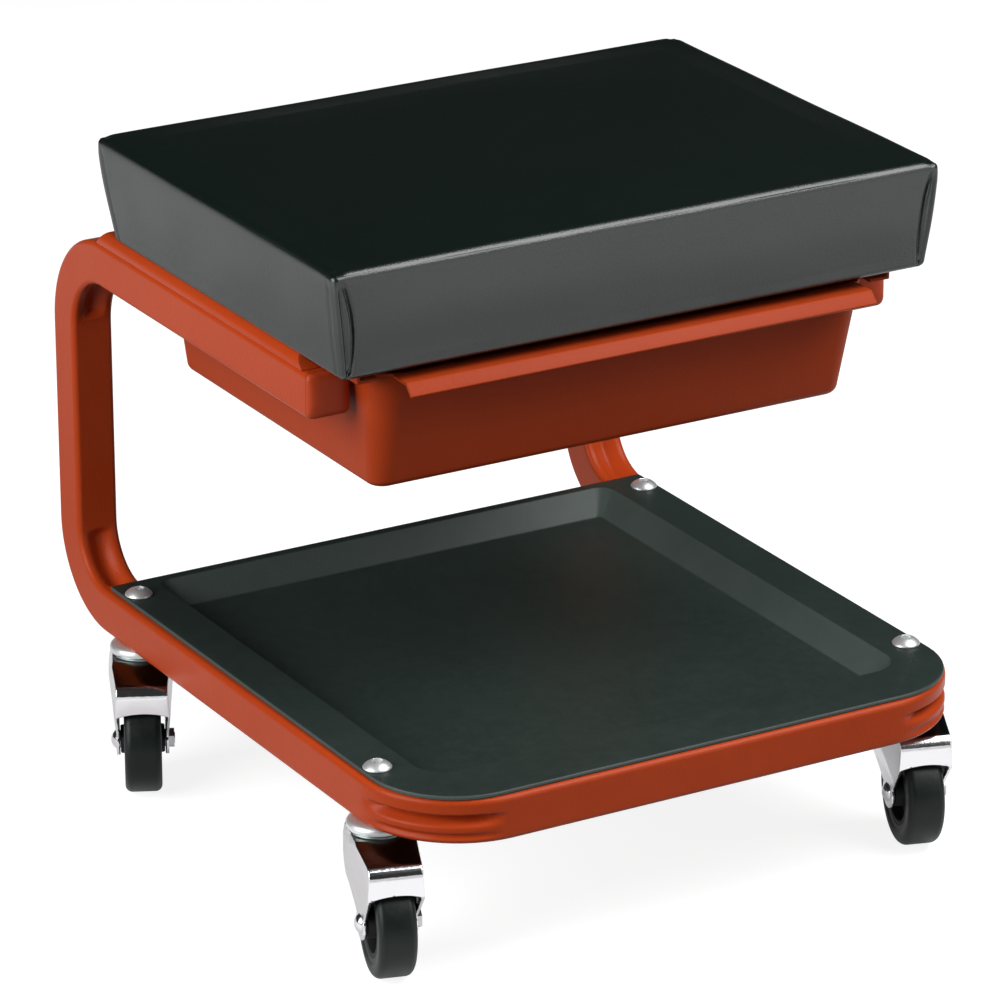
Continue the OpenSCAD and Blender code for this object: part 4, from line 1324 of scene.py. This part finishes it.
@dataclass
class HemStaples:
    """The staples that hold the cover's hem, one tree of instances."""

    half_width: float = 0.1767
    front: float = -0.1333
    rear: float = 0.1223
    inset: float = 0.020
    level: float = 0.3223
    crown: float = 0.010
    wire: float = 0.0008
    leg: float = 0.008
    bend: float = 0.0009
    bend_steps: int = 4
    wire_sides: int = 10
    pitch: float = 0.048
    body: str = "frame"

    def _spread(self, low: float, high: float) -> np.ndarray:
        """Even places from low to high, about a pitch apart."""
        return np.linspace(low, high, max(1, int((high - low) / self.pitch)) + 1)

    def places(self) -> list[tuple[float, float, float]]:
        """Each staple's x, y and turn."""
        x, front, rear = self.half_width - self.inset, self.front + self.inset, self.rear - self.inset
        rows = [(s * x, y, QUARTER) for s in (-1, 1) for y in self._spread(front + self.inset, rear - self.inset)]
        return rows + [(at, y, 0.0) for y in (front, rear) for at in self._spread(self.inset - x, x - self.inset)]

    def tree(self) -> bpy.types.NodeTree:
        """Puts a bent wire at each point, turned by the point's turn."""
        graph = Group("hem_staples", GEOMETRY_TREE, {
            "Geometry": GEOMETRY, "Crown": self.crown, "Leg": self.leg, "Wire": self.wire, "Material": MATERIAL,
        }, ("Geometry", GEOMETRY))
        half = graph.math("MULTIPLY", graph.given["Crown"], 0.5)
        minus = graph.math("MULTIPLY", half, -1.0)
        sink = graph.math("MULTIPLY", graph.given["Wire"], -0.5)
        top = graph.math("ADD", graph.given["Leg"], sink)
        corners = {
            f"Point {number}": graph.node("ShaderNodeCombineXYZ", {0: x, 2: z}).outputs[0]
            for number, (x, z) in enumerate(((minus, top), (minus, sink), (half, sink), (half, top)), 1)
        }
        wire = graph.node("GeometryNodeCurvePrimitiveQuadrilateral", corners, mode="POINTS")
        opened = graph.node("GeometryNodeSetSplineCyclic", {0: wire.outputs[0], 2: False})
        bends = {0: opened.outputs[0], "Radius": self.bend, "Count": self.bend_steps}
        bent = graph.node("GeometryNodeFilletCurve", bends, mode="POLY")
        radius = graph.math("MULTIPLY", graph.given["Wire"], 0.5)
        ring = graph.node("GeometryNodeCurvePrimitiveCircle", {"Resolution": self.wire_sides, "Radius": radius})
        staple = graph.node("GeometryNodeCurveToMesh", {0: bent.outputs[0], 1: ring.outputs[0], "Fill Caps": True})
        turn = graph.node("GeometryNodeInputNamedAttribute", {"Name": "turn"}, data_type="FLOAT").outputs[0]
        return graph.scattered(staple.outputs[0], turn)

    def build(self) -> None:
        """Builds the staples."""
        spots = self.places()
        mesh = bpy.data.meshes.new("hem_staples")
        mesh.from_pydata([(x, y, self.level) for x, y, _ in spots], [], [])
        turns = np.array([turn for *_, turn in spots], np.float32)
        mesh.attributes.new("turn", "FLOAT", "POINT").data.foreach_set("value", turns)
        staples = add_object("hem_staples", mesh)
        add_tree(staples, self.tree(), {"Material": ZINC.material()})
        staples.data.shade_smooth()
        settle(staples, self.body, "zinc", "cover_staples")


# The drawer and the tray


@dataclass
class Drawer:
    """The moulded drawer with its flanges and pull lip."""

    low: float = 0.247
    height: float = 0.067
    low_half: float = 0.145
    side_lean: float = 0.0065
    front: float = -0.107
    rear: float = 0.112
    front_lean: float = 0.0164
    rear_lean: float = 0.0125
    wall: float = 0.002
    corner: float = 0.017
    foot_corner: float = 0.010
    foot: float = 0.0045
    rim_round: float = 0.0009
    rim_drop: float = 0.0007
    flange_low: float = 0.3143
    flange_half: float = 0.1635
    rim: float = 0.0037
    tail: float = 0.0035
    lip_reach: float = 0.01335
    lip_droop: float = 0.006
    lip_half: float = 0.1426
    edge: float = 0.0007
    floor_shares: tuple[float, ...] = (0.25, 0.6, 0.85)
    wall_shares: tuple[float, ...] = (0.25, 0.5, 0.75)
    body: str = "drawer"

    @property
    def top(self) -> float:
        """Level of the flanges' upper side."""
        return self.flange_low + self.wall

    def _ring(self, z: float, inset: float) -> np.ndarray:
        """Outline of the wall at a height, drawn in.

        Args:
            z: the height.
            inset: how far it is drawn in.

        Returns:
            The points.
        """
        up = (z - self.low) / self.height
        r = self.foot_corner + (self.corner - self.foot_corner) * up - inset
        return outline(self.low_half + self.side_lean * up - inset, self.front - self.front_lean * up + inset,
                       self.rear + self.rear_lean * up - inset, z, r, r, 12, 10)

    def _foot_ring(self, angle: float, wall: float) -> np.ndarray:
        """Ring of the round foot, from the floor (0) to the wall (a quarter turn), a wall's thickness in."""
        level = self.low + wall + self.foot * (1 - math.cos(angle))
        return self._ring(level, wall + self.foot * (1 - math.sin(angle)))

    def _shell(self) -> tuple[np.ndarray, Faces]:
        """The tub: up the outside, over a round rim and down the inside."""
        outside, start, half = self._ring(self.low, self.foot), self.low + self.foot, self.wall / 2
        rings = [outside * [share, share, 1] for share in self.floor_shares]
        rings += [self._foot_ring(a, 0.0) for a in arc(8)]
        rings += [self._ring(start + (self.top - start - self.rim_drop) * share, 0) for share in self.wall_shares]
        for a in arc(6, math.pi):
            rings.append(self._ring(self.top - self.rim_round + self.rim_round * math.sin(a), half - half * math.cos(a)))
        rings += [self._ring(start + (self.top - start) * share, self.wall) for share in self.wall_shares[::-1]]
        rings += [self._foot_ring(a, self.wall) for a in arc(8)[::-1]]
        rings += [rings[-1] * [share, share, 1] for share in reversed(self.floor_shares)]
        return lofted(rings)

    @staticmethod
    def _bar(section: Sequence[tuple[float, float]], start: float, end: float, along_x: bool) -> tuple[list, Faces]:
        """A bar with one section, along X or Y.

        Args:
            section: its corners, as (y, z) along X or (x, z) along Y.
            start: where it starts.
            end: where it ends.
            along_x: whether it runs along X.

        Returns:
            Points and faces.
        """
        points = [(place, a, z) if along_x else (a, place, z) for place in (start, end) for a, z in section]
        n = len(section)
        faces = [(i, (i + 1) % n, n + (i + 1) % n, n + i) for i in range(n)]
        return points, faces + [tuple(range(n))[::-1], tuple(range(n, 2 * n))]

    def build(self) -> None:
        """Builds the tub, its flanges and its lip as one moulding."""
        low, top, wall, outer = self.flange_low, self.top, self.wall, self.flange_half
        up = (top - self.low) / self.height
        rim_x, rim_front = self.low_half + self.side_lean * up, self.front - self.front_lean * up
        start, end = rim_front + wall / 2, self.rear + self.rear_lean * up + self.tail
        flange = [(rim_x - wall / 2, low), (outer, low), (outer, top + self.rim), (outer - wall, top + self.rim),
                  (outer - wall, top), (rim_x - wall / 2, top)]
        bars = [self._bar([(side * x, z) for x, z in flange], start, end, False) for side in (-1, 1)]
        slant, tip = wall * math.sin(math.radians(45)), rim_front - self.lip_reach
        end_y, end_z = tip - self.lip_droop, top - self.lip_droop
        lip = [(start, low), (tip + wall * math.tan(math.radians(22.5)), low), (end_y + slant, end_z - slant),
               (end_y, end_z), (tip, top), (start, top)]
        bars.append(self._bar(lip, -self.lip_half, self.lip_half, True))
        tub = link_mesh("drawer_tub", self._shell(), DRAWER_SHELL)
        for shape in bars:
            bar = link_mesh("drawer_bar", shape, DRAWER_SHELL)
            bevelled(bar, self.edge, 20)
            join(tub, bar)
        tub.name = tub.data.name = "drawer_moulding"
        tub.data.shade_smooth()
        sharpen(tub, 35)
        settle(tub, self.body, "drawer_plastic", "drawer")


@dataclass
class Tray:
    """The moulded tray on the base, with its sunk floor."""

    half_width: float = 0.174
    front: float = -0.2035
    rear: float = 0.1512
    top: float = 0.109
    thick: float = 0.0025
    depth: float = 0.014
    slope: float = 0.012
    corner: float = 0.050
    rear_corner: float = 0.002
    edge_round: float = 0.0011
    edge_inset: float = 0.0035
    recess_half: float = 0.148
    recess_front: float = -0.16875
    recess_rear: float = 0.1447
    recess_front_r: float = 0.018
    recess_rear_r: float = 0.009
    brow: float = 0.0016
    foot: float = 0.0030
    wall_shares: tuple[float, ...] = (0.25, 0.5, 0.75)
    wall_reach: float = 0.85
    floor_shares: tuple[float, ...] = (0.25, 0.5, 0.75, 0.92)
    floor_drift: float = 0.0003
    floor_margin: float = 0.02
    body: str = "frame"

    def _recess(self, z: float, outset: float) -> np.ndarray:
        """Outline of the recess at a height, widened.

        Args:
            z: the height.
            outset: how far it is widened.

        Returns:
            The points.
        """
        drop = self.slope * (self.top - z) / self.depth
        inner = drop - outset
        front_r = max(0.004, self.recess_front_r - drop / 2 + outset)
        rear_r = max(0.003, self.recess_rear_r - drop / 2 + outset)
        return outline(self.recess_half - inner, self.recess_front + inner, self.recess_rear - inner, z, front_r,
                       rear_r, 12, 24)

    def _edge(self, z: float, inset: float) -> np.ndarray:
        """Outline of the tray's edge at a height, drawn in."""
        r = max(0.0012, self.rear_corner - inset)
        return outline(self.half_width - inset, self.front + inset, self.rear - inset, z, self.corner - inset, r, 12, 24)

    def _wall_rings(self, outset: float, sink: float) -> list[np.ndarray]:
        """Rings of the sloping wall from the flange down to the floor, round at both ends.

        Args:
            outset: how far they are widened.
            sink: how far they are lowered.

        Returns:
            The rings.
        """
        tan, end = self.slope / self.depth, self.depth
        turn = QUARTER - math.atan(tan)
        start, length = (radius * math.tan(turn / 2) for radius in (self.brow, self.foot))
        places = [(start - self.brow * math.sin(a), self.brow * (1 - math.cos(a))) for a in arc(5, turn)]
        brow_end = places[-1][1]
        for share in self.wall_shares:
            down = brow_end + (end - brow_end) * share * self.wall_reach
            places.append((-down * tan, down))
        for a in arc(6, turn)[::-1]:
            places.append((self.foot * math.sin(a) - end * tan - length, end - self.foot * (1 - math.cos(a))))
        made = []
        for out, down in places:
            ring = self._recess(self.top - down, out + down * tan + outset)
            ring[:, 2] -= sink
            made.append(ring)
        return made

    def build(self) -> None:
        """Builds the tray."""
        spread = self.thick * (math.hypot(self.slope, self.depth) - self.slope) / self.depth
        under, over = self._wall_rings(spread, self.thick), self._wall_rings(0.0, 0.0)
        low, r = self.top - self.thick, self.edge_round
        rings = [self._shrunk(under[-1], share) for share in self.floor_shares]
        rings += under[::-1]
        rings += [self._edge(low + up, inset) for up, inset in
                  ((0.0, self.edge_inset), (0.0, 0.0008), (0.0003, 0.0002), (0.0010, 0.0))]
        rings += [self._edge(self.top - r + r * math.sin(a), r * (1 - math.cos(a))) for a in arc(4)]
        rings += [self._edge(self.top, self.edge_inset)]
        rings += over
        rings += [self._shrunk(over[-1], share) for share in self.floor_shares[::-1]]
        points, faces = lofted(rings)
        margin = self.floor_margin
        for point in points:
            x, y, _ = point
            if abs(x) < self.recess_half - margin and self.recess_front + margin < y < self.recess_rear - margin:
                point[2] += self.floor_drift * noise.noise(Vector((x * 14, y * 14, 1.3)))
        settle(link_mesh("tray_moulding", (points, faces), TRAY_SKIN, 40), self.body, "tray_plastic", "tray")

    @staticmethod
    def _shrunk(ring: np.ndarray, share: float) -> np.ndarray:
        """A ring drawn in towards its middle."""
        middle = ring.mean(0)
        return middle + (ring - middle) * share


@dataclass
class TrayBolts:
    """The four dome head bolts through the tray, one tree of instances."""

    reach_x: float = 0.1655
    front_y: float = -0.144
    rear_y: float = 0.132
    level: float = 0.109
    end: float = 0.05935
    shank: float = 0.004
    chamfer: float = 0.0009
    head: float = 0.0078
    head_edge: float = 0.0003
    rim: float = 0.0007
    dome: float = 0.0045
    dome_flat: float = 0.0034
    dome_steps: int = 9
    socket: float = 0.0025
    sink: float = 0.0025
    socket_cone: float = 0.0006
    steps: int = 72
    body: str = "frame"

    def one(self) -> bpy.types.Object:
        """One bolt at the origin, its head's seat at level zero."""
        low, head, swell = self.end - self.level, self.head, self.dome - self.rim
        profile = [(self.shank - self.chamfer, low), (self.shank, low + self.chamfer), (self.shank, -0.0002),
                   (head - self.head_edge, 0.0), (head, self.head_edge), (head, self.rim)]
        dome_r = (head ** 2 + swell ** 2) / (2 * swell)
        for i in range(1, self.dome_steps + 1):
            r = head - (head - self.dome_flat) * i / self.dome_steps
            profile.append((r, self.dome - dome_r + math.sqrt(dome_r ** 2 - r ** 2)))
        angles = np.arange(self.steps) * 2 * math.pi / self.steps
        around, top = np.stack([np.cos(angles), np.sin(angles)], 1), profile[-1][1]
        hexagon = self.socket / np.cos((angles + math.pi / 6) % (math.pi / 3) - math.pi / 6)
        shapes = [(np.full(self.steps, r), z) for r, z in profile]
        shapes += [(hexagon * scale, top + up) for scale, up in
                   ((1.10, 0.00005), (1.03, -0.0001), (1.0, -0.0004), (0.99, -self.sink))]
        points, faces = lofted([np.column_stack([around * r[:, None], np.full(self.steps, z)]) for r, z in shapes])
        points[-1, 2] -= self.socket_cone
        return link_mesh("dome_bolt", (points, faces), BOLT_PLATE, 42)

    def tree(self) -> bpy.types.NodeTree:
        """Puts the bolt at each point, each turned differently."""
        graph = Group("tray_bolt_set", GEOMETRY_TREE, {
            "Geometry": GEOMETRY, "Bolt": "NodeSocketObject", "Seed": 7, "Material": MATERIAL,
        }, ("Geometry", GEOMETRY))
        shape = graph.node("GeometryNodeObjectInfo", {"Object": graph.given["Bolt"]}).outputs["Geometry"]
        turn = graph.node("FunctionNodeRandomValue", {"Seed": graph.given["Seed"]}, data_type="FLOAT").outputs[1]
        return graph.scattered(shape, graph.math("MULTIPLY", turn, math.pi))

    def build(self) -> None:
        """Builds the four bolts and dresses the nuts."""
        bolt = self.one()
        mesh = bpy.data.meshes.new("tray_bolt_set")
        spots = [(s * self.reach_x, y, self.level) for s in (-1, 1) for y in (self.front_y, self.rear_y)]
        mesh.from_pydata(spots, [], [])
        bolts = add_object("tray_bolt_set", mesh)
        add_tree(bolts, self.tree(), {"Bolt": bolt, "Material": BOLT_PLATE.material()})
        bpy.data.objects.remove(bolt)
        settle(bolts, self.body, "chrome", "tray_bolts")
        dress_node("caster_nuts", ZINC)


# The casters


@dataclass
class Caster:
    """One swivel caster: its fork, wheel and bearing."""

    corner: str
    x: float
    y: float
    swivel: float
    trail: float = 0.020
    axle_z: float = 0.030
    wheel_r: float = 0.030
    tyre_w: float = 0.0208
    shoulder: float = 0.0040
    hub_r: float = 0.019
    hub_w: float = 0.019
    bore_r: float = 0.00505
    boss_r: float = 0.008
    boss_w: float = 0.0248
    race_r: float = 0.017
    race_top: float = 0.0815
    race_low: float = 0.0765
    race_bore: float = 0.0043
    race_wall: float = 0.0018
    race_round: float = 0.0046
    race_drop: float = 0.0034
    nose_flare: float = 0.0012
    nose_arch: float = 0.0022
    nose_half: float = 0.0147
    fork_grid: float = 0.00055
    fork_kept: float = 0.30

    @property
    def place(self) -> Matrix:
        """Where the caster stands and how it is turned."""
        return Matrix.Translation((self.x, self.y, 0.0)) @ Matrix.Rotation(math.radians(-self.swivel), 4, "Z")

    @property
    def axle(self) -> Matrix:
        """Where the wheel turns, with X along the axle."""
        return self.place @ Matrix.Translation((0.0, -self.trail, self.axle_z))

    def node(self, piece: str) -> str:
        """Name of one of its nodes."""
        return f"{self.corner}_{piece}"

    def fork(self) -> bpy.types.Object:
        """The pressed fork, smoothed from the frame's solid."""
        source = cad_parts[self.node("fork")]
        made = source.copy()
        made.data = source.data.copy()
        for key in list(made.keys()):
            del made[key]
        made.parent = None
        made.name = made.data.name = self.node("pressed_fork")
        bpy.context.scene.collection.objects.link(made)
        outward(made)
        modified(made, "REMESH", mode="VOXEL", voxel_size=self.fork_grid)
        modified(made, "LAPLACIANSMOOTH", iterations=2, lambda_factor=0.35, lambda_border=0.0)
        modified(made, "DECIMATE", ratio=self.fork_kept)
        self._flare(made)
        set_finish(made.data, FORK_PLATE)
        made.data.shade_smooth()
        return made

    def _flare(self, fork: bpy.types.Object) -> None:
        """Spreads the hood a little towards its front, and arches its lower edge over the tyre."""
        back = self.place.inverted()
        for vertex in fork.data.vertices:
            spot = back @ vertex.co
            ahead = clamped(-spot.y, 0.020, 0.022)
            low = clamped(0.074 - spot.z, 0.0, 0.020) * clamped(spot.z, 0.040, 0.010)
            spot.x += math.copysign(self.nose_flare, spot.x) * min(abs(spot.x) / 0.014, 1.0) * ahead * low
            edge = clamped(0.0640 - spot.z, 0.0, 0.012) * clamped(spot.z, 0.044, 0.004)
            arch = self.nose_arch * max(1 - (spot.x / self.nose_half) ** 2, 0.0)
            spot.z += arch * edge * clamped(-spot.y, 0.036, 0.006)
            vertex.co = self.place @ spot

    def _turned(self, name: str, profile: Sequence[tuple[float, float]], steps: int, finish: Finish, sharp: float,
                where: Matrix) -> bpy.types.Object:
        """Makes a turned piece of the caster.

        Args:
            name: its name after the corner's.
            profile: its profile.
            steps: steps of the turn.
            finish: its finish.
            sharp: angle in degrees from which its edges are sharp.
            where: where its axis lies.

        Returns:
            The piece.
        """
        made = link_mesh(self.node(name), turned(profile, steps), finish, sharp)
        made.data.transform(where)
        return made

    def race(self) -> bpy.types.Object:
        """The upper race: a pressed cup with a round shoulder, open below."""
        r, top, low, wall, drop = self.race_r, self.race_top, self.race_low, self.race_wall, self.race_drop
        flat, edge = r - self.race_round, 0.0003
        profile = [(top, self.race_bore), (top, flat)]
        profile += [(top - drop * (1 - math.cos(a)), flat + (r - flat) * math.sin(a)) for a in arc(8, first=1)]
        profile += [(low + edge, r), (low, r - edge), (low, r - wall + edge), (low + edge, r - wall)]
        profile += [(top - wall - 0.0022, r - wall - 0.0004), (top - wall, flat - 0.0012), (top - wall, self.race_bore)]
        upright = self.place @ Matrix.Rotation(-QUARTER, 4, "Y")
        return self._turned("race_cup", profile, 96, BOLT_PLATE, 40, upright)

    def tyre(self) -> bpy.types.Object:
        """The tyre, with round shoulders and a shallow step down to the hub."""
        half, r, seat, turn = self.tyre_w / 2, self.wheel_r, self.hub_r + 0.00002, self.shoulder
        profile = [(-self.hub_w / 2, seat), (-self.hub_w / 2, seat + 0.0026), (0.0006 - half, seat + 0.0034),
                   (-half, seat + 0.0042)]
        profile += [(turn * (1 - math.cos(a)) - half, r - turn + turn * math.sin(a)) for a in arc(8)]
        profile.append((-0.0004, r))
        profile += [(-x, q) for x, q in reversed(profile)]
        return self._turned("wheel_tyre", profile, 128, RUBBER, 40, self.axle)

    def hub(self) -> bpy.types.Object:
        """The hub: a boss, a sunk web and a rim."""
        half, boss, inner, outer = self.hub_w / 2, self.boss_w / 2, self.boss_r, self.hub_r
        side = [(boss, self.bore_r), (boss, inner - 0.0006), (boss - 0.0006, inner), (0.0040, inner + 0.0006),
                (0.0034, inner + 0.0016), (0.0030, outer - 0.0042), (0.0036, outer - 0.0030),
                (half - 0.0004, outer - 0.0026), (half, outer - 0.0020), (half, outer - 0.0004),
                (half - 0.0004, outer)]
        profile = [(-x, r) for x, r in side] + [(x, r) for x, r in reversed(side)]
        return self._turned("wheel_hub", profile, 96, HUB_PLASTIC, 32, self.axle)

    def build(self) -> None:
        """Builds the fork and the wheel, and dresses the rest."""
        settle(self.fork(), self.node("fork"), "chrome", self.node("fork"))
        settle(self.race(), "frame", "chrome", self.node("top_race"))
        settle(self.tyre(), self.node("wheel"), "tyre", self.node("tyre"))
        settle(self.hub(), self.node("wheel"), "hub_plastic", self.node("hub"))
        plain = (("kingpin", ZINC), ("balls", STEEL), ("bush", STEEL), ("axle_bolt", CHROME), ("axle_nut", ZINC))
        for piece, finish in plain:
            dress_node(self.node(piece), finish)


# The studio


@dataclass
class Softbox:
    """One large soft lamp."""

    name: str
    place: Point
    aim: Point
    size: tuple[float, float]
    power: float

    def build(self) -> None:
        """Builds the lamp."""
        lamp = bpy.data.lights.new(self.name, "AREA")
        lamp.shape = "RECTANGLE"
        lamp.size, lamp.size_y = self.size
        lamp.energy = self.power
        holder = add_object(self.name, lamp)
        holder.location = self.place
        holder.rotation_mode = "QUATERNION"
        holder.rotation_quaternion = (Vector(self.aim) - Vector(self.place)).to_track_quat("-Z", "Y")


@dataclass
class Studio:
    """The pale floor, the soft lamps and the camera."""

    sky: float = 0.02
    bounced_tone: float = 0.10
    seen_tone: float = 0.40
    seen_glow: float = 0.86
    mirrored_tone: float = 1.0
    mirrored_glow: float = 0.375
    # Reflections see the floor darker in a ring round the seat, by these steps over distance: painted shade in the
    # reflections.
    mirrored_shade_reach: float = 1.6
    mirrored_shade_steps: tuple[tuple[float, float], ...] = (
        (0.26, 0.80), (0.36, 0.36), (0.52, 0.62), (0.75, 0.95), (1.0, 1.0))
    floor_reach: float = 14.0
    focal: float = 5.84
    sensor: float = 36.0
    azimuth: float = -30.0
    elevation: float = 21.34
    roll: float = -0.15
    shift_x: float = -0.01009
    shift_y: float = -0.00033
    distance: float = 3.21
    aim: Point = (0.0, -0.00625, 0.180)
    lamps: tuple[Softbox, ...] = (
        Softbox("left_box", (-1.75, -0.15, 1.0), (0.0, 0.0, 0.2), (1.4, 1.4), 34.0),
        Softbox("top_box", (0.80, -0.80, 1.70), (0.0, 0.0, 0.2), (1.5, 1.2), 32.0),
        Softbox("front_box", (1.05, -2.0, 0.95), (0.0, 0.0, 0.35), (1.5, 1.9), 9.0),
    )

    def camera(self) -> None:
        """Sets the camera at the photograph's angle."""
        az, el, roll = (math.radians(a) for a in (self.azimuth, self.elevation, self.roll))
        back = Vector((math.sin(az) * math.cos(el), -math.cos(az) * math.cos(el), math.sin(el)))
        right = Vector((math.cos(az), math.sin(az), 0.0))
        up = back.cross(right)
        side = right * math.cos(roll) + up * math.sin(roll)
        top = up * math.cos(roll) - right * math.sin(roll)
        data = bpy.data.cameras.new("photo_camera")
        data.sensor_width = self.sensor
        data.lens = self.focal * data.sensor_width
        data.clip_start, data.clip_end = 0.1, 100.0
        holder = add_object("photo_camera", data)
        spot = Vector(self.aim) + back * self.distance + right * self.shift_x + up * self.shift_y
        holder.matrix_world = Matrix.Translation(spot) @ Matrix((side, top, back)).transposed().to_4x4()
        bpy.context.scene.camera = holder

    def floor(self) -> None:
        """Builds the floor, which is pale by its own colour and keeps the shadow; reflections see it darker in a ring
        round the seat, a painted shade.
        """
        mesh = bpy.data.meshes.new("studio_floor")
        corners = [(x * self.floor_reach, y * self.floor_reach, 0) for x, y in ((-1, -1), (1, -1), (1, 1), (-1, 1))]
        mesh.from_pydata(corners, [], [(0, 1, 2, 3)])
        material = bpy.data.materials.new("studio_floor")
        material.use_nodes = True
        nodes, graph = material.node_tree.nodes, Graph(material.node_tree)
        path = graph.node("ShaderNodeLightPath").outputs
        seen = graph.math("MAXIMUM", path["Is Camera Ray"], path["Is Transmission Ray"])
        mirrored = path["Is Glossy Ray"]
        tone = graph.math("MULTIPLY_ADD", seen, self.seen_tone - self.bounced_tone, self.bounced_tone)
        # painted shade: reflections see the floor darker in a ring round the seat
        spot = graph.vector("MULTIPLY", graph.node("ShaderNodeNewGeometry").outputs["Position"], (1.0, 1.0, 0.0))
        away = graph.math("DIVIDE", graph.vector("LENGTH", spot), self.mirrored_shade_reach)
        reach = graph.ramp(away, self.mirrored_shade_steps)
        more = graph.math("SUBTRACT", graph.math("MULTIPLY", reach, self.mirrored_tone), self.bounced_tone)
        tone = graph.math("MULTIPLY_ADD", mirrored, more, tone)
        shader = nodes["Principled BSDF"]
        for key, value in (("Roughness", 1.0), ("Specular IOR Level", 0.0), ("Base Color", tone)):
            graph.feed(shader, key, value)
        mirrored_glow = graph.math("MULTIPLY", graph.math("MULTIPLY", mirrored, reach), self.mirrored_glow)
        glow = graph.math("MULTIPLY_ADD", seen, self.seen_glow, mirrored_glow)
        light = graph.node("ShaderNodeEmission", {"Strength": glow})
        both = graph.node("ShaderNodeAddShader", {0: shader.outputs[0], 1: light.outputs[0]})
        graph.feed(next(n for n in nodes if n.type == "OUTPUT_MATERIAL"), 0, both.outputs[0])
        mesh.materials.append(material)
        add_object("studio_floor", mesh)

    def world(self) -> None:
        """Sets an even dark sky, so that the lamps and the floor light the seat."""
        world = bpy.data.worlds.new("studio_sky")
        world.use_nodes = True
        sky = world.node_tree.nodes["Background"]
        sky.inputs[0].default_value = (1.0, 1.0, 1.0, 1.0)
        sky.inputs[1].default_value = self.sky
        bpy.context.scene.world = world

    def build(self) -> None:
        """Builds the studio."""
        self.camera()
        self.floor()
        self.world()
        for lamp in self.lamps:
            lamp.build()
        bpy.context.scene.view_settings.view_transform = "Standard"


def write_sizes() -> None:
    """Updates the view layer."""
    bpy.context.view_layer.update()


def main() -> None:
    """Builds the seat's sub-assemblies and the studio."""
    logging.basicConfig(level=logging.INFO, format="%(name)s: %(message)s")
    Studio().build()
    steps: Iterable[tuple[str, Callable[[], None]]] = [
        ("frame", TubeFrame().build),
        ("cushion", Cushion().build),
        ("staples", HemStaples().build),
        ("drawer", Drawer().build),
        ("tray", Tray().build),
        ("bolts", TrayBolts().build),
        ("front left caster", Caster("front_left", -0.1655, -0.144, 16.3).build),
        ("rear left caster", Caster("rear_left", -0.1655, 0.132, 26.1).build),
        ("front right caster", Caster("front_right", 0.1655, -0.144, 17.3).build),
        ("rear right caster", Caster("rear_right", 0.1655, 0.132, -26.1).build),
    ]
    for label, build in steps:
        LOG.info("building the %s", label)
        build()
    write_sizes()


if __name__ == "__main__":
    main()
